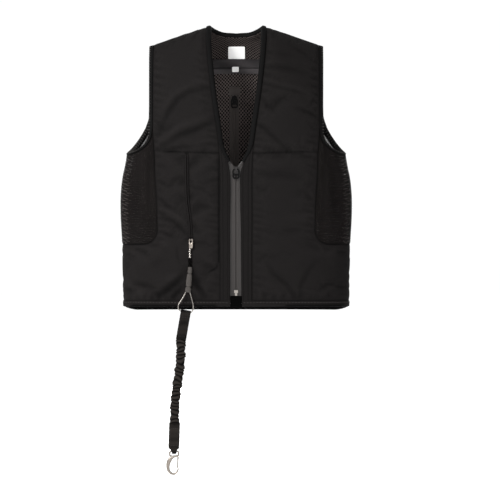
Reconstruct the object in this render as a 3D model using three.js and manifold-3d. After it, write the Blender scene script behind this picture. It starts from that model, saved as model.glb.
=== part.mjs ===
// Airbag riding vest in its worn form, with its trigger lanyard hanging at the hem.
// Millimetres, +Z up. The front faces -Y and the wearer's right is -X.
// Origin: between the neck ends of the shoulders, just under the wall.
import * as THREE from 'three';
import Module from 'manifold-3d';

const manifoldTool = await Module();
manifoldTool.setup();
const { Manifold, Mesh: SolidMesh } = manifoldTool;

// Walls and gaps
const WALL = 10;
const MESH_RECESS = 2;
const MESH_WALL = 3;
const LINING_WALL = 1.7;
const SEAM = 0.45;
const SEAT = 0.4;
const BINDING_PROUD = 0.7;

// Torso: half-width and half-depths by height
const ROUNDNESS = 2.5;
const TORSO = [
  { z: 30, halfWidth: 206, front: 92, back: 92 },
  { z: -60, halfWidth: 210, front: 93, back: 94 },
  { z: -150, halfWidth: 216, front: 95, back: 95 },
  { z: -255, halfWidth: 231, front: 95, back: 93 },
  { z: -310, halfWidth: 240.5, front: 94, back: 90 },
  { z: -385, halfWidth: 243.8, front: 91, back: 87 },
  { z: -450, halfWidth: 239, front: 88, back: 84 },
  { z: -600, halfWidth: 236.5, front: 85, back: 82 },
];

// Shoulders: an arch over x that fades out towards the underarm
const SHOULDER_TOP = 23.7;
const SHOULDER_SLOPE = 0.36;
const SHOULDER_ROUND = 40;
const SHOULDER_FADE = { from: -20, to: -250 };
const DOME = 170;
const DOME_ARC = (DOME * Math.PI) / 2;

// Length of surface for a unit of q at the side seam
const SIDE_SPAN = 95;

// Hem
const HEM_TOP = -561;
const HEM_HEIGHT = 12.5;
const TAIL_DROP = 8;

// Neck edge of one half, from the zip to the shoulder, in front view
const NECK_FRONT = [
  { x: 11.5, z: -272, binding: 6 },
  { x: 16.5, z: -262, binding: 7 },
  { x: 22.5, z: -249, binding: 9 },
  { x: 26.5, z: -234, binding: 10 },
  { x: 31.6, z: -196, binding: 10 },
  { x: 38, z: -154, binding: 10 },
  { x: 42.8, z: -120, binding: 10 },
  { x: 47, z: -85, binding: 10 },
  { x: 51, z: -45, binding: 10 },
  { x: 53, z: -15, binding: 10 },
];
const NECK_POINT = 53.5;
const NECK_BACK = [
  { x: 51, w: -24 },
  { x: 42, w: -55 },
  { x: 24, w: -80 },
  { x: 0, w: -88 },
];
const NECK_BINDING = 10;

// Armhole edge of one half, in front view, from the shoulder to the side
const SHOULDER_POINT = 182.5;
const ARM_FRONT = [
  { x: 182.5, z: -60 },
  { x: 182, z: -120 },
  { x: 182, z: -170 },
  { x: 182.5, z: -201 },
];
const ARM_FRONT_MESH = [
  { x: 185.5, z: -225 },
  { x: 196, z: -240 },
  { x: 212, z: -250 },
];
const ARM_BACK_MESH = [
  { x: 222, z: -242 },
  { x: 212, z: -230 },
  { x: 202, z: -215 },
];
const ARM_BACK = [
  { x: 193, z: -199 },
  { x: 186, z: -178 },
  { x: 182, z: -140 },
  { x: 182.5, z: -80 },
];
const UNDERARM = -253;
const ARM_BINDING = 9;
const MESH_BINDING = 5;

// Front edge of the side mesh, in front view, upwards from its rounded corner
const MESH_BOTTOM = -445;
const MESH_CORNER = 31;
const MESH_EDGE = [
  { x: 163, z: -414 },
  { x: 164, z: -373 },
  { x: 166, z: -331 },
  { x: 169, z: -269 },
  { x: 171.5, z: -232 },
];

// Front opening
const PLACKET_OUTER = 33.4;
const PLACKET_INNER = 12.2;
const PLACKET_DEPTH = { outer: 0.6, inner: 4.2 };
const TAPE_DEPTH = { outer: 4.7, inner: 5.9 };
const TAPE_EDGE = 17;
const TAPE_SPREAD = [
  { z: -292, x: 0.3 },
  { z: -286, x: 2.5 },
  { z: -279, x: 6 },
];
const COIL = { halfWidth: 2.6, outer: 6.3, inner: 8.5 };
const ZIP_BOTTOM = -551;
const SLIDER_Z = -289;
const END_TAB = { halfWidth: 11.8, outer: -0.8, inner: 5.6 };
const STOP_Z = -544;

// Inside of the back, in front view
const INSIDE = WALL + SEAM + LINING_WALL + 0.8;
const NECK_INSIDE = INSIDE + 0.5;
const NECK_BAND = { halfWidth: 74, top: -45.8, bottom: -77.5, thick: 1.4 };
const NECK_LABEL = { halfWidth: 18, top: -16, bottom: -45, thick: 0.8 };
const SIZE_TAG = { x: -2, halfWidth: 7.5, top: -61.5, bottom: -75, thick: 0.7 };
const LINING_ZIP = { x: -4, halfWidth: 10, top: -128.4, bottom: -330, thick: 0.8 };
const GARAGE = { halfWidth: 12.5, top: -108, bottom: -127.8, thick: 1.2 };
const LINING_SLIDER_Z = -135.6;

// Zip slider and pull, the same on both zips
const SLIDER = { top: 11, foot: 8, height: 16, thick: 2.4, bridge: 4 };
const PULL = { width: 15, length: 21, thick: 1.8, bar: 1.8 };

// Slit for the trigger, in front view, and the fittings that hang from it
const SLIT = [
  { x: -102, z: -258 },
  { x: -101.5, z: -290 },
  { x: -100, z: -352 },
  { x: -94.6, z: -398 },
  { x: -93.8, z: -430 },
];
const LIP = [
  { across: -4, proud: 1.1 },
  { across: -1.4, proud: 2.6 },
  { across: 0, proud: 1.3 },
  { across: 1.4, proud: 2.6 },
  { across: 4, proud: 1.1 },
];
const TRIGGER_X = -95.3;
const FITTING = { width: 7.4, top: -432, bottom: -452, thick: 2.6, hole: 1.7, holeZ: -436.5 };
const BEADS = [
  { z: -452.5, radius: 1.6 },
  { z: -453.6, radius: 3.2 },
  { z: -456, radius: 3.7 },
  { z: -458.4, radius: 3.2 },
  { z: -459.6, radius: 1.7 },
  { z: -460.8, radius: 3.2 },
  { z: -463, radius: 3.7 },
  { z: -465.2, radius: 3.2 },
  { z: -466.6, radius: 2.4 },
  { z: -472, radius: 2.4 },
];
const CORD = { top: -472.4, bottom: -490.6, radius: 3.4 };
const SLEEVE = [
  { x: -95.4, z: -491, wide: 3.6, thick: 3.4 },
  { x: -95.5, z: -493, wide: 4.2, thick: 3.8 },
  { x: -96.2, z: -503, wide: 4.4, thick: 3.9 },
  { x: -96.5, z: -505, wide: 3.8, thick: 3.5 },
  { x: -96.8, z: -507, wide: 4.5, thick: 3.9 },
  { x: -99.2, z: -530, wide: 5.2, thick: 3.6 },
  { x: -99.5, z: -532.5, wide: 4.6, thick: 3.2 },
  { x: -99.8, z: -535, wide: 5.4, thick: 3.5 },
  { x: -101, z: -543, wide: 5.7, thick: 2.9 },
];
const RING_Y = -90;
const RING_WIRE = 1.25;
const RING = [
  { x: -104.4, z: -544.6 },
  { x: -108.2, z: -552 },
  { x: -114, z: -561 },
  { x: -119, z: -569 },
  { x: -119.4, z: -576 },
  { x: -116.4, z: -580.6 },
  { x: -112.8, z: -582.5 },
  { x: -104, z: -584 },
  { x: -95.2, z: -585.5 },
  { x: -91.4, z: -583.2 },
  { x: -88.9, z: -578 },
  { x: -88.6, z: -570 },
  { x: -91.3, z: -561 },
  { x: -94.6, z: -552 },
  { x: -97.6, z: -544.8 },
];

// Lanyard: stations of its centreline, in front view
const STRAP = { width: 22, thick: 5, eye: 4.4, bore: 1.8 };
const TAB_LENGTH = 58;
const LEAN = Math.atan2(10, 59);
const BUNGEE = { top: [-114.2, -644], bottom: [-127, -813.6], gathers: 17, wide: 9.6, thick: 6.4 };
const END_STRAP = { top: [-127.1, -814.2], bottom: [-128.8, -868], width: 20 };
const HOOK_EYE = { x: -128, z: -876.9, wide: 9.3, high: 5.4, wire: 1.5 };
const HOOK_LOOP = { x: -128, z: -870.45, radius: 4.3, wire: 1.3, wide: 3 };
const HOOK = [
  { x: -120.2, z: -880.6, wide: 1.8, thick: 1.9 },
  { x: -124.6, z: -882, wide: 2.2, thick: 2.3 },
  { x: -130.4, z: -883.6, wide: 2.9, thick: 2.8 },
  { x: -136, z: -888.2, wide: 4.2, thick: 3.2 },
  { x: -139.6, z: -895.4, wide: 4.2, thick: 3.3 },
  { x: -140.7, z: -903.5, wide: 3.6, thick: 3.1 },
  { x: -139.4, z: -911.2, wide: 3.1, thick: 2.9 },
  { x: -134.6, z: -917, wide: 2.5, thick: 2.6 },
  { x: -128, z: -918.6, wide: 2.2, thick: 2.4 },
  { x: -122.4, z: -915, wide: 1.8, thick: 2 },
  { x: -119, z: -907.2, wide: 1.5, thick: 1.6 },
];
const GATE = { top: [-119.9, -883], foot: [-120.9, -906], radius: 1.3 };

// Soft folds in the fronts, in front view: valleys have a negative height
const FOLDS = [
  { from: [-97, -493], to: [-153, -556], width: 12, height: -4 },
  { from: [-88, -493], to: [-63, -556], width: 10, height: -4 },
  { from: [-163, -350], to: [-136, -371], width: 7, height: -2 },
  { from: [-159, -383], to: [-113, -410], width: 7, height: -2 },
  { from: [-165, -198], to: [-51, -127], width: 18, height: -3 },
  { from: [36, -190], to: [99, -240], width: 12, height: -2 },
  { from: [53, -481], to: [128, -558], width: 14, height: -2.5 },
  { from: [178, -473], to: [132, -558], width: 14, height: -2 },
];

// Mesh counts: rows run up a panel, columns run from its centre to the side
const BAND_ROWS = 4;
const CORNER_ROWS = 2;
const EDGE_ROWS = 5;
const PLACKET_ROWS = BAND_ROWS + CORNER_ROWS + EDGE_ROWS;
const NECK_ROWS = 9;
const ROWS = PLACKET_ROWS + NECK_ROWS;
const FRONT_COLUMNS = 7;
const CORNER_COLUMNS = 2;
const SIDE_COLUMNS = 3;
const NECK_COLUMNS = 10;
const YOKE_COLUMNS = 3;
const UNDERARM_STEPS = 7;

// Materials
const softshell = material('softshell', 0x1f1d1e, 0.86);
const meshFabric = material('side mesh', 0x141314, 0.55);
const bindingFabric = material('binding', 0x161516, 0.8);
const liningFabric = material('lining', 0x0f0f11, 0.9);
const satin = material('satin', 0x2b2a2d, 0.4);
const labelCloth = material('label', 0xe9e8e6, 0.7);
const zipTape = material('zip tape', 0x57524e, 0.3);
const zipMetal = material('dark zip metal', 0x35353a, 0.35, 0.8);
const blackPlastic = material('black plastic', 0x121212, 0.4);
const steel = material('steel', 0xcfcac2, 0.25, 1);
const webbing = material('webbing', 0x2a2725, 0.8);
const sleeveRubber = material('sleeve', 0x3c3a38, 0.5);

function material(name, color, roughness, metalness = 0) {
  const made = new THREE.MeshStandardMaterial({ color, roughness, metalness });
  made.name = name;
  return made;
}

// Smooth step from 0 at a to 1 at b
function fade(a, b, value) {
  const t = THREE.MathUtils.clamp((value - a) / (b - a), 0, 1);
  return t * t * (3 - 2 * t);
}

// Cubic through the rows of the torso table
function torsoAt(z, key) {
  const last = TORSO.length - 1;
  let i = TORSO.findIndex((row) => row.z <= z);
  i = THREE.MathUtils.clamp(i < 0 ? last : i, 1, last);
  const slope = (k) => {
    const a = TORSO[Math.max(k - 1, 0)];
    const b = TORSO[Math.min(k + 1, last)];
    return (b[key] - a[key]) / (b.z - a.z);
  };
  const p = TORSO[i - 1];
  const n = TORSO[i];
  const step = n.z - p.z;
  const t = THREE.MathUtils.clamp((z - p.z) / step, 0, 1);
  const h00 = 2 * t ** 3 - 3 * t ** 2 + 1;
  const h10 = t ** 3 - 2 * t ** 2 + t;
  const h01 = 1 - h00;
  const h11 = t ** 3 - t ** 2;
  return h00 * p[key] + h10 * step * slope(i - 1) + h01 * n[key] + h11 * step * slope(i);
}

function shoulderDrop(x) {
  return SHOULDER_SLOPE * (SHOULDER_ROUND - Math.hypot(x, SHOULDER_ROUND));
}

function slopeShare(level) {
  return fade(SHOULDER_FADE.to, SHOULDER_FADE.from, level);
}

// Height of the row that lies w millimetres down from the shoulder line
function levelOf(w) {
  const angle = Math.min(w, DOME_ARC) / DOME;
  return SHOULDER_TOP - DOME * (1 - Math.cos(angle)) - Math.max(0, w - DOME_ARC);
}

function reachOf(level) {
  const drop = SHOULDER_TOP - level;
  if (drop > DOME) return DOME_ARC + drop - DOME;
  return DOME * Math.acos(1 - Math.max(drop, 0) / DOME);
}

// Height of the folds at a point of the fronts
function foldAt(x, z) {
  let height = 0;
  for (const fold of FOLDS) {
    const from = new THREE.Vector2(...fold.from);
    const along = new THREE.Vector2(...fold.to).sub(from);
    const p = new THREE.Vector2(x, z).sub(from);
    const t = THREE.MathUtils.clamp(p.dot(along) / along.lengthSq(), 0, 1);
    const away = p.addScaledVector(along, -t).length() / fold.width;
    height += fold.height * Math.exp(-away * away) * (0.4 + 0.6 * Math.sin(Math.PI * t));
  }
  return height;
}

// Outer surface of the vest. q runs 0 at the centre to 1 at the side and on to 2 round the other
// face; w runs down from the shoulder line, positive on the front and negative on the back.
function skin(q, w) {
  if (Math.abs(q) > 1) return skin(Math.sign(q) * (2 - Math.abs(q)), -w);
  const reach = Math.abs(w);
  const level = levelOf(reach);
  const turn = (q * Math.PI) / 2;
  const power = 2 / ROUNDNESS;
  const across = Math.sign(turn) * Math.abs(Math.sin(turn)) ** power;
  const x = torsoAt(level, 'halfWidth') * across;
  const round = Math.sin(Math.min(reach, DOME_ARC) / DOME);
  const depth = w < 0 ? torsoAt(level, 'back') : -torsoAt(level, 'front');
  const y = depth * round * Math.max(0, Math.cos(turn)) ** power;
  return new THREE.Vector3(x, y, level + shoulderDrop(x) * slopeShare(level));
}

// The surface with its tangents and outward normal
function frameAt({ q, w }) {
  const dq = 0.004;
  const dw = 0.5;
  const alongQ = skin(q + dq, w).sub(skin(q - dq, w)).divideScalar(2 * dq);
  const alongW = skin(q, w + dw).sub(skin(q, w - dw)).divideScalar(2 * dw);
  const normal = new THREE.Vector3().crossVectors(alongW, alongQ).normalize();
  return { point: skin(q, w), alongQ, alongW, normal };
}

// Point at a depth under the outer surface, with the folds of the fronts
function wallPoint(place, depth) {
  const { point, normal } = frameAt(place);
  const onFront = Math.abs(place.q) <= 1 && place.w > 0;
  const fold = onFront ? foldAt(point.x, point.z) * fade(1, 0.85, Math.abs(place.q)) : 0;
  return point.addScaledVector(normal, fold - depth);
}

// Place on the surface of a point given in front view; face is 1 for the front, -1 for the back
function placeAt(x, z, face = 1) {
  let low = -700;
  let high = SHOULDER_TOP;
  for (let step = 0; step < 40; step += 1) {
    const middle = (low + high) / 2;
    if (middle + shoulderDrop(x) * slopeShare(middle) < z) low = middle;
    else high = middle;
  }
  return placeOnRow(x, face * reachOf(low));
}

// Place on the surface from x and the distance w down from the shoulder line
function placeOnRow(x, w) {
  const half = torsoAt(levelOf(Math.abs(w)), 'halfWidth');
  const across = Math.min(Math.abs(x) / half, 1) ** (ROUNDNESS / 2);
  return { q: (Math.sign(x) * Math.asin(across) * 2) / Math.PI, w };
}

function steps(from, to, count) {
  return Array.from({ length: count + 1 }, (_, i) => THREE.MathUtils.lerp(from, to, i / count));
}

function mixPlaces(a, b, t) {
  return { q: THREE.MathUtils.lerp(a.q, b.q, t), w: THREE.MathUtils.lerp(a.w, b.w, t) };
}

// Evenly spaced places along a smooth line through others
function resample(places, steps) {
  const scale = 200;
  const curve = new THREE.CatmullRomCurve3(
    places.map(({ q, w }) => new THREE.Vector3(q * scale, w, 0)), false, 'centripetal');
  return curve.getSpacedPoints(steps).map((p) => ({ q: p.x / scale, w: p.y }));
}

// Moves the places of an edge into the wall beside it, by a distance for each
function inset(path, distances, closed = false) {
  const points = path.map((place) => skin(place.q, place.w));
  const count = path.length;
  return path.map((place, i) => {
    const before = closed ? points[(i + count - 1) % count] : points[Math.max(i - 1, 0)];
    const after = closed ? points[(i + 1) % count] : points[Math.min(i + 1, count - 1)];
    const { alongQ, alongW, normal } = frameAt(place);
    const tangent = after.clone().sub(before).normalize();
    const inward = new THREE.Vector3().crossVectors(tangent, normal).normalize();
    const step = inward.multiplyScalar(Array.isArray(distances) ? distances[i] : distances);
    const qq = alongQ.dot(alongQ);
    const ww = alongW.dot(alongW);
    const qw = alongQ.dot(alongW);
    const sq = alongQ.dot(step);
    const sw = alongW.dot(step);
    const det = qq * ww - qw * qw;
    return { q: place.q + (sq * ww - sw * qw) / det, w: place.w + (sw * qq - sq * qw) / det };
  });
}

function mirror(places) {
  return places.map((place) => place && { q: -place.q, w: place.w });
}

// Patch between four edges that share their corners. Its rows are even in the middle and bend
// towards the rows of the two side edges.
function patch(bottom, top, left, right) {
  const columns = bottom.length - 1;
  const rows = left.length - 1;
  const pull = (u) => Math.cos(Math.min(u / 0.6, 1) * (Math.PI / 2)) ** 2;
  return left.map((_, j) => bottom.map((__, i) => {
    const u = i / columns;
    const v = j / rows;
    const mix = THREE.MathUtils.lerp;
    const across = mix(left[j].q, right[j].q, u);
    const ends = mix(bottom[i].q, top[i].q, v);
    const low = mix(bottom[0].q, bottom[columns].q, u);
    const high = mix(top[0].q, top[columns].q, u);
    const bendLeft = left[j].w - mix(bottom[0].w, top[0].w, v);
    const bendRight = right[j].w - mix(bottom[columns].w, top[columns].w, v);
    const down = mix(bottom[i].w, top[i].w, v) + pull(u) * bendLeft + pull(1 - u) * bendRight;
    return { q: across + ends - mix(low, high, v), w: down };
  }));
}

function line(a, b, steps) {
  return Array.from({ length: steps + 1 }, (_, i) => mixPlaces(a, b, i / steps));
}

// Closed solid between an outer and an inner grid of points. A cell with a missing corner is left
// out, and the solid gets an edge there.
function slab(outer, inner, closed = false) {
  const rows = outer.length;
  const columns = outer[0].length;
  const positions = [];
  const index = [];
  const numbers = new Map();
  const corner = (grid, j, i) => {
    const p = grid[j % rows][i];
    if (!numbers.has(p)) {
      numbers.set(p, positions.length / 3);
      positions.push(p.x, p.y, p.z);
    }
    return numbers.get(p);
  };
  const filled = (j, i) => {
    if (i < 0 || i > columns - 2) return false;
    if (!closed && (j < 0 || j > rows - 2)) return false;
    const at = (dj, di) => outer[(j + dj + rows) % rows][i + di];
    return Boolean(at(0, 0) && at(0, 1) && at(1, 0) && at(1, 1));
  };
  const quad = (a, b, c, d) => index.push(a, b, c, a, c, d);
  const edge = (j0, i0, j1, i1) => quad(corner(outer, j0, i0), corner(inner, j0, i0),
    corner(inner, j1, i1), corner(outer, j1, i1));
  for (let j = 0; j < (closed ? rows : rows - 1); j += 1) {
    for (let i = 0; i < columns - 1; i += 1) {
      if (!filled(j, i)) continue;
      quad(corner(outer, j, i), corner(outer, j, i + 1),
        corner(outer, j + 1, i + 1), corner(outer, j + 1, i));
      quad(corner(inner, j, i), corner(inner, j + 1, i),
        corner(inner, j + 1, i + 1), corner(inner, j, i + 1));
      if (!filled(j - 1, i)) edge(j, i, j, i + 1);
      if (!filled(j, i + 1)) edge(j, i + 1, j + 1, i + 1);
      if (!filled(j + 1, i)) edge(j + 1, i + 1, j + 1, i);
      if (!filled(j, i - 1)) edge(j + 1, i, j, i);
    }
  }
  return facingOut(positions, index);
}

// Geometry from points and triangles, turned so that its volume is positive
function facingOut(positions, index) {
  let volume = 0;
  const at = (k) => new THREE.Vector3().fromArray(positions, 3 * k);
  for (let k = 0; k < index.length; k += 3) {
    volume += at(index[k]).dot(at(index[k + 1]).cross(at(index[k + 2])));
  }
  if (volume < 0) index.reverse();
  const geometry = new THREE.BufferGeometry();
  geometry.setAttribute('position', new THREE.Float32BufferAttribute(positions, 3));
  geometry.setIndex(index);
  geometry.computeVertexNormals();
  return geometry;
}

// Solid wall over a grid of places, between two depths
function wall(grid, outerDepth, innerDepth, closed = false) {
  const layer = (depth) => grid.map((row) => row.map((place) => place && wallPoint(place, depth)));
  return slab(layer(outerDepth), layer(innerDepth), closed);
}

// Solid of rings of points, capped at both ends or closed on itself
function loft(rings, closed = false) {
  const sides = rings[0].length;
  const positions = rings.flat().flatMap((p) => [p.x, p.y, p.z]);
  const index = [];
  const last = closed ? rings.length : rings.length - 1;
  for (let j = 0; j < last; j += 1) {
    const next = (j + 1) % rings.length;
    for (let i = 0; i < sides; i += 1) {
      const k = (i + 1) % sides;
      index.push(j * sides + i, j * sides + k, next * sides + k);
      index.push(j * sides + i, next * sides + k, next * sides + i);
    }
  }
  for (let i = 1; i < sides - 1 && !closed; i += 1) {
    const base = (rings.length - 1) * sides;
    index.push(0, i + 1, i);
    index.push(base, base + i, base + i + 1);
  }
  return facingOut(positions, index);
}

// Rings about a path: each station gives its centre and its two half-sizes
function sweep(stations, sides, closed = false, flat = new THREE.Vector3(0, 1, 0)) {
  const count = stations.length;
  return loft(stations.map((station, i) => {
    const before = closed ? stations[(i + count - 1) % count] : stations[Math.max(i - 1, 0)];
    const after = closed ? stations[(i + 1) % count] : stations[Math.min(i + 1, count - 1)];
    const tangent = after.centre.clone().sub(before.centre).normalize();
    const wide = new THREE.Vector3().crossVectors(flat, tangent).normalize();
    const thick = new THREE.Vector3().crossVectors(tangent, wide).normalize();
    return Array.from({ length: sides }, (_, k) => {
      const angle = ((k + 0.5) / sides) * 2 * Math.PI;
      return station.centre.clone()
        .addScaledVector(wide, station.wide * Math.cos(angle))
        .addScaledVector(thick, station.thick * Math.sin(angle));
    });
  }), closed);
}

// Joins or cuts closed geometries
function solidOf(geometry) {
  const welded = new Map();
  const position = geometry.getAttribute('position');
  const source = geometry.getIndex();
  const count = source ? source.count : position.count;
  const vertices = [];
  const triangles = [];
  for (let k = 0; k < count; k += 1) {
    const i = source ? source.getX(k) : k;
    const p = [position.getX(i), position.getY(i), position.getZ(i)];
    const key = p.map((value) => value.toFixed(4)).join();
    if (!welded.has(key)) {
      welded.set(key, vertices.length / 3);
      vertices.push(...p);
    }
    triangles.push(welded.get(key));
  }
  const kept = [];
  for (let k = 0; k < triangles.length; k += 3) {
    const [a, b, c] = triangles.slice(k, k + 3);
    if (a !== b && b !== c && c !== a) kept.push(a, b, c);
  }
  return new Manifold(new SolidMesh({
    numProp: 3,
    vertProperties: new Float32Array(vertices),
    triVerts: new Uint32Array(kept),
  }));
}

function geometryOf(solid) {
  const mesh = solid.getMesh();
  const positions = [];
  for (let k = 0; k < mesh.numVert; k += 1) {
    positions.push(...mesh.vertProperties.slice(k * mesh.numProp, k * mesh.numProp + 3));
  }
  return facingOut(positions, Array.from(mesh.triVerts));
}

function join(...geometries) {
  return geometryOf(Manifold.union(geometries.map(solidOf)));
}

function cut(geometry, ...tools) {
  return geometryOf(tools.reduce((rest, tool) => rest.subtract(solidOf(tool)), solidOf(geometry)));
}

function box(width, depth, height, x, y, z) {
  return new THREE.BoxGeometry(width, depth, height).translate(x, y, z);
}

// Shape in front view given a thickness along Y, from its front face at y
function plate(shape, thickness, y, curveSegments = 3) {
  const geometry = new THREE.ExtrudeGeometry(
    shape, { depth: thickness, bevelEnabled: false, curveSegments });
  return geometry.rotateX(Math.PI / 2).translate(0, y + thickness, 0);
}

function roundedShape(width, height, radius, x, z) {
  const shape = new THREE.Shape();
  const [w, h] = [width / 2, height / 2];
  shape.moveTo(x - w + radius, z - h);
  shape.lineTo(x + w - radius, z - h);
  shape.quadraticCurveTo(x + w, z - h, x + w, z - h + radius);
  shape.lineTo(x + w, z + h - radius);
  shape.quadraticCurveTo(x + w, z + h, x + w - radius, z + h);
  shape.lineTo(x - w + radius, z + h);
  shape.quadraticCurveTo(x - w, z + h, x - w, z + h - radius);
  shape.lineTo(x - w, z - h + radius);
  shape.quadraticCurveTo(x - w, z - h, x - w + radius, z - h);
  return shape;
}

// Edges of the left half
const neckFront = [
  ...NECK_FRONT.map(({ x, z }) => placeAt(x, z)),
  placeOnRow(NECK_POINT, 0),
];
const neckLow = neckFront.slice(0, 4);
const neckHigh = resample(neckFront.slice(3), NECK_ROWS);
const neckBack = resample([
  placeOnRow(NECK_POINT, 0),
  ...NECK_BACK.map(({ x, w }) => placeOnRow(x, w)),
], NECK_COLUMNS / 2);
const neckHalf = [...neckLow.slice(0, 3), ...neckHigh, ...neckBack.slice(1)];
const neckWidths = [
  ...NECK_FRONT.slice(0, 3).map((row) => row.binding),
  ...Array(neckHalf.length - 3).fill(NECK_BINDING),
];
const neckPath = [...neckHalf, ...mirror(neckHalf).reverse().slice(1)];
const neckPathWidths = [...neckWidths, ...neckWidths.slice().reverse().slice(1)];
const neckFar = inset(neckPath, neckPathWidths);
const neckPanelEdge = inset(neckPath, neckPathWidths.map((width) => width + SEAM));

const side = (z, face = 1) => ({ q: 1, w: face * reachOf(z) });
const armFront = resample([
  placeOnRow(SHOULDER_POINT, 0),
  ...ARM_FRONT.map(({ x, z }) => placeAt(x, z)),
], NECK_ROWS).reverse();
const armFrontMesh = resample([
  side(UNDERARM),
  ...ARM_FRONT_MESH.map(({ x, z }) => placeAt(x, z)).reverse(),
  armFront[0],
], UNDERARM_STEPS);
const armBack = resample([
  ...ARM_BACK.map(({ x, z }) => placeAt(x, z, -1)),
  placeOnRow(SHOULDER_POINT, 0),
], NECK_ROWS);
const armBackMesh = resample([
  side(UNDERARM, -1),
  ...ARM_BACK_MESH.map(({ x, z }) => placeAt(x, z, -1)),
  armBack[0],
], UNDERARM_STEPS);
const wrap = ({ q, w }) => ({ q: 2 - q, w: -w });

// The armhole as one closed edge: up the front, over the shoulder and down the back
const armPath = [
  ...armFrontMesh.slice(0, -1),
  ...armFront,
  ...armBack.slice().reverse().slice(1),
  ...armBackMesh.slice().reverse().slice(1, -1),
];
const armWidths = armPath.map((_, i) => {
  if (i >= UNDERARM_STEPS) return ARM_BINDING;
  return THREE.MathUtils.lerp(MESH_BINDING, ARM_BINDING, fade(3, UNDERARM_STEPS, i));
});
armWidths[0] = (MESH_BINDING + ARM_BINDING) / 2;
const armFar = inset(armPath, armWidths.map((width) => -width), true);
const armPanelEdge = inset(armPath, armWidths.map((width) => -width - SEAM), true);

const frontArmEdge = armPanelEdge.slice(UNDERARM_STEPS, UNDERARM_STEPS + NECK_ROWS + 1);
const backArmEdge = armPanelEdge
  .slice(UNDERARM_STEPS + NECK_ROWS, UNDERARM_STEPS + 2 * NECK_ROWS + 1).reverse();
const meshTopFront = armPanelEdge.slice(0, UNDERARM_STEPS + 1).reverse();
const meshTopBack = [
  armPanelEdge[0], ...armPanelEdge.slice(UNDERARM_STEPS + 2 * NECK_ROWS).reverse(),
];

// Edge of a panel round the side mesh: from the side seam along the mesh bottom and up its rounded
// corner to the middle of the arc, then on up the mesh edge and the armhole
function aroundMesh(face, armEdge) {
  const seam = { q: 1 - (0.5 * SEAM) / SIDE_SPAN, w: face * reachOf(MESH_BOTTOM) };
  const arc = steps(0, Math.PI / 2, 2 * CORNER_COLUMNS).map((angle) => placeAt(
    MESH_EDGE[0].x + MESH_CORNER * (1 - Math.sin(angle)),
    MESH_BOTTOM + MESH_CORNER * (1 - Math.cos(angle)), face));
  const up = resample([
    ...MESH_EDGE.map(({ x, z }) => placeAt(x, z, face)),
    armEdge[0],
  ], EDGE_ROWS);
  return {
    below: [...line(seam, arc[0], SIDE_COLUMNS).slice(0, -1), ...arc.slice(0, CORNER_COLUMNS + 1)],
    beside: [...arc.slice(CORNER_COLUMNS), ...up.slice(1), ...armEdge.slice(1)],
  };
}

const hemZ = (q) => HEM_TOP - TAIL_DROP * fade(1, 1.35, Math.abs(q));
const seamWidth = 0.6 * SEAM;

// Front panel: a band below the mesh that reaches the side seam, and the part above it
const frontEdge = aroundMesh(1, frontArmEdge);
const frontInner = [
  ...resample([
    placeAt(PLACKET_OUTER, HEM_TOP),
    placeAt(PLACKET_OUTER, -420),
    placeAt(PLACKET_OUTER, -290),
    neckPanelEdge[3],
  ], PLACKET_ROWS),
  ...neckPanelEdge.slice(4, 4 + NECK_ROWS),
];
const frontOuter = frontEdge.beside;
const bandTop = [
  ...line(frontInner[BAND_ROWS], frontOuter[0], FRONT_COLUMNS),
  ...frontEdge.below.slice(0, -1).reverse(),
];
const frontHem = bandTop.map(({ q }) => ({ q, w: reachOf(HEM_TOP) }));
frontHem[0] = frontInner[0];
const frontTop = line(frontInner[ROWS], frontOuter[frontOuter.length - 1], FRONT_COLUMNS)
  .map(({ q }) => ({ q, w: seamWidth }));
frontInner[ROWS] = frontTop[0];
frontOuter[frontOuter.length - 1] = frontTop[FRONT_COLUMNS];
const frontBand = patch(frontHem, bandTop, frontInner.slice(0, BAND_ROWS + 1),
  line(frontHem[frontHem.length - 1], bandTop[bandTop.length - 1], BAND_ROWS));
const frontUpper = patch(
  bandTop.slice(0, FRONT_COLUMNS + 1), frontTop, frontInner.slice(BAND_ROWS), frontOuter);
const blank = Array(CORNER_COLUMNS + SIDE_COLUMNS).fill(null);
const frontGrid = [...frontBand, ...frontUpper.slice(1).map((row) => [...row, ...blank])];

// Back panel, from the wearer's right side to the left
const backEdge = aroundMesh(-1, backArmEdge);
const backOuter = backEdge.beside;
const backNeck = neckPanelEdge.slice(3 + NECK_ROWS, 4 + NECK_ROWS + NECK_COLUMNS);
const yoke = line(backNeck[0], backOuter[backOuter.length - 1], YOKE_COLUMNS)
  .map(({ q }) => ({ q, w: -seamWidth }));
const backTop = [...mirror(yoke).reverse(), ...backNeck.slice(1, -1).reverse(), ...yoke];
const BACK_COLUMNS = backTop.length - 1;
backOuter[backOuter.length - 1] = backTop[BACK_COLUMNS];
const backBandTop = [
  ...mirror(backEdge.below.slice(0, -1)),
  ...line(mirror(backOuter)[0], backOuter[0], BACK_COLUMNS),
  ...backEdge.below.slice(0, -1).reverse(),
];
const backHem = backBandTop.map(({ q }) => ({ q, w: -reachOf(hemZ(2 - Math.abs(q))) }));
const backSide = line(backHem[backHem.length - 1], backBandTop[backBandTop.length - 1], BAND_ROWS);
const backBand = patch(backHem, backBandTop, mirror(backSide), backSide);
const backUpper = patch(
  line(mirror(backOuter)[0], backOuter[0], BACK_COLUMNS), backTop, mirror(backOuter), backOuter);
const backGrid = [
  ...backBand,
  ...backUpper.slice(1).map((row) => [...blank, ...row, ...blank]),
];

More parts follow.
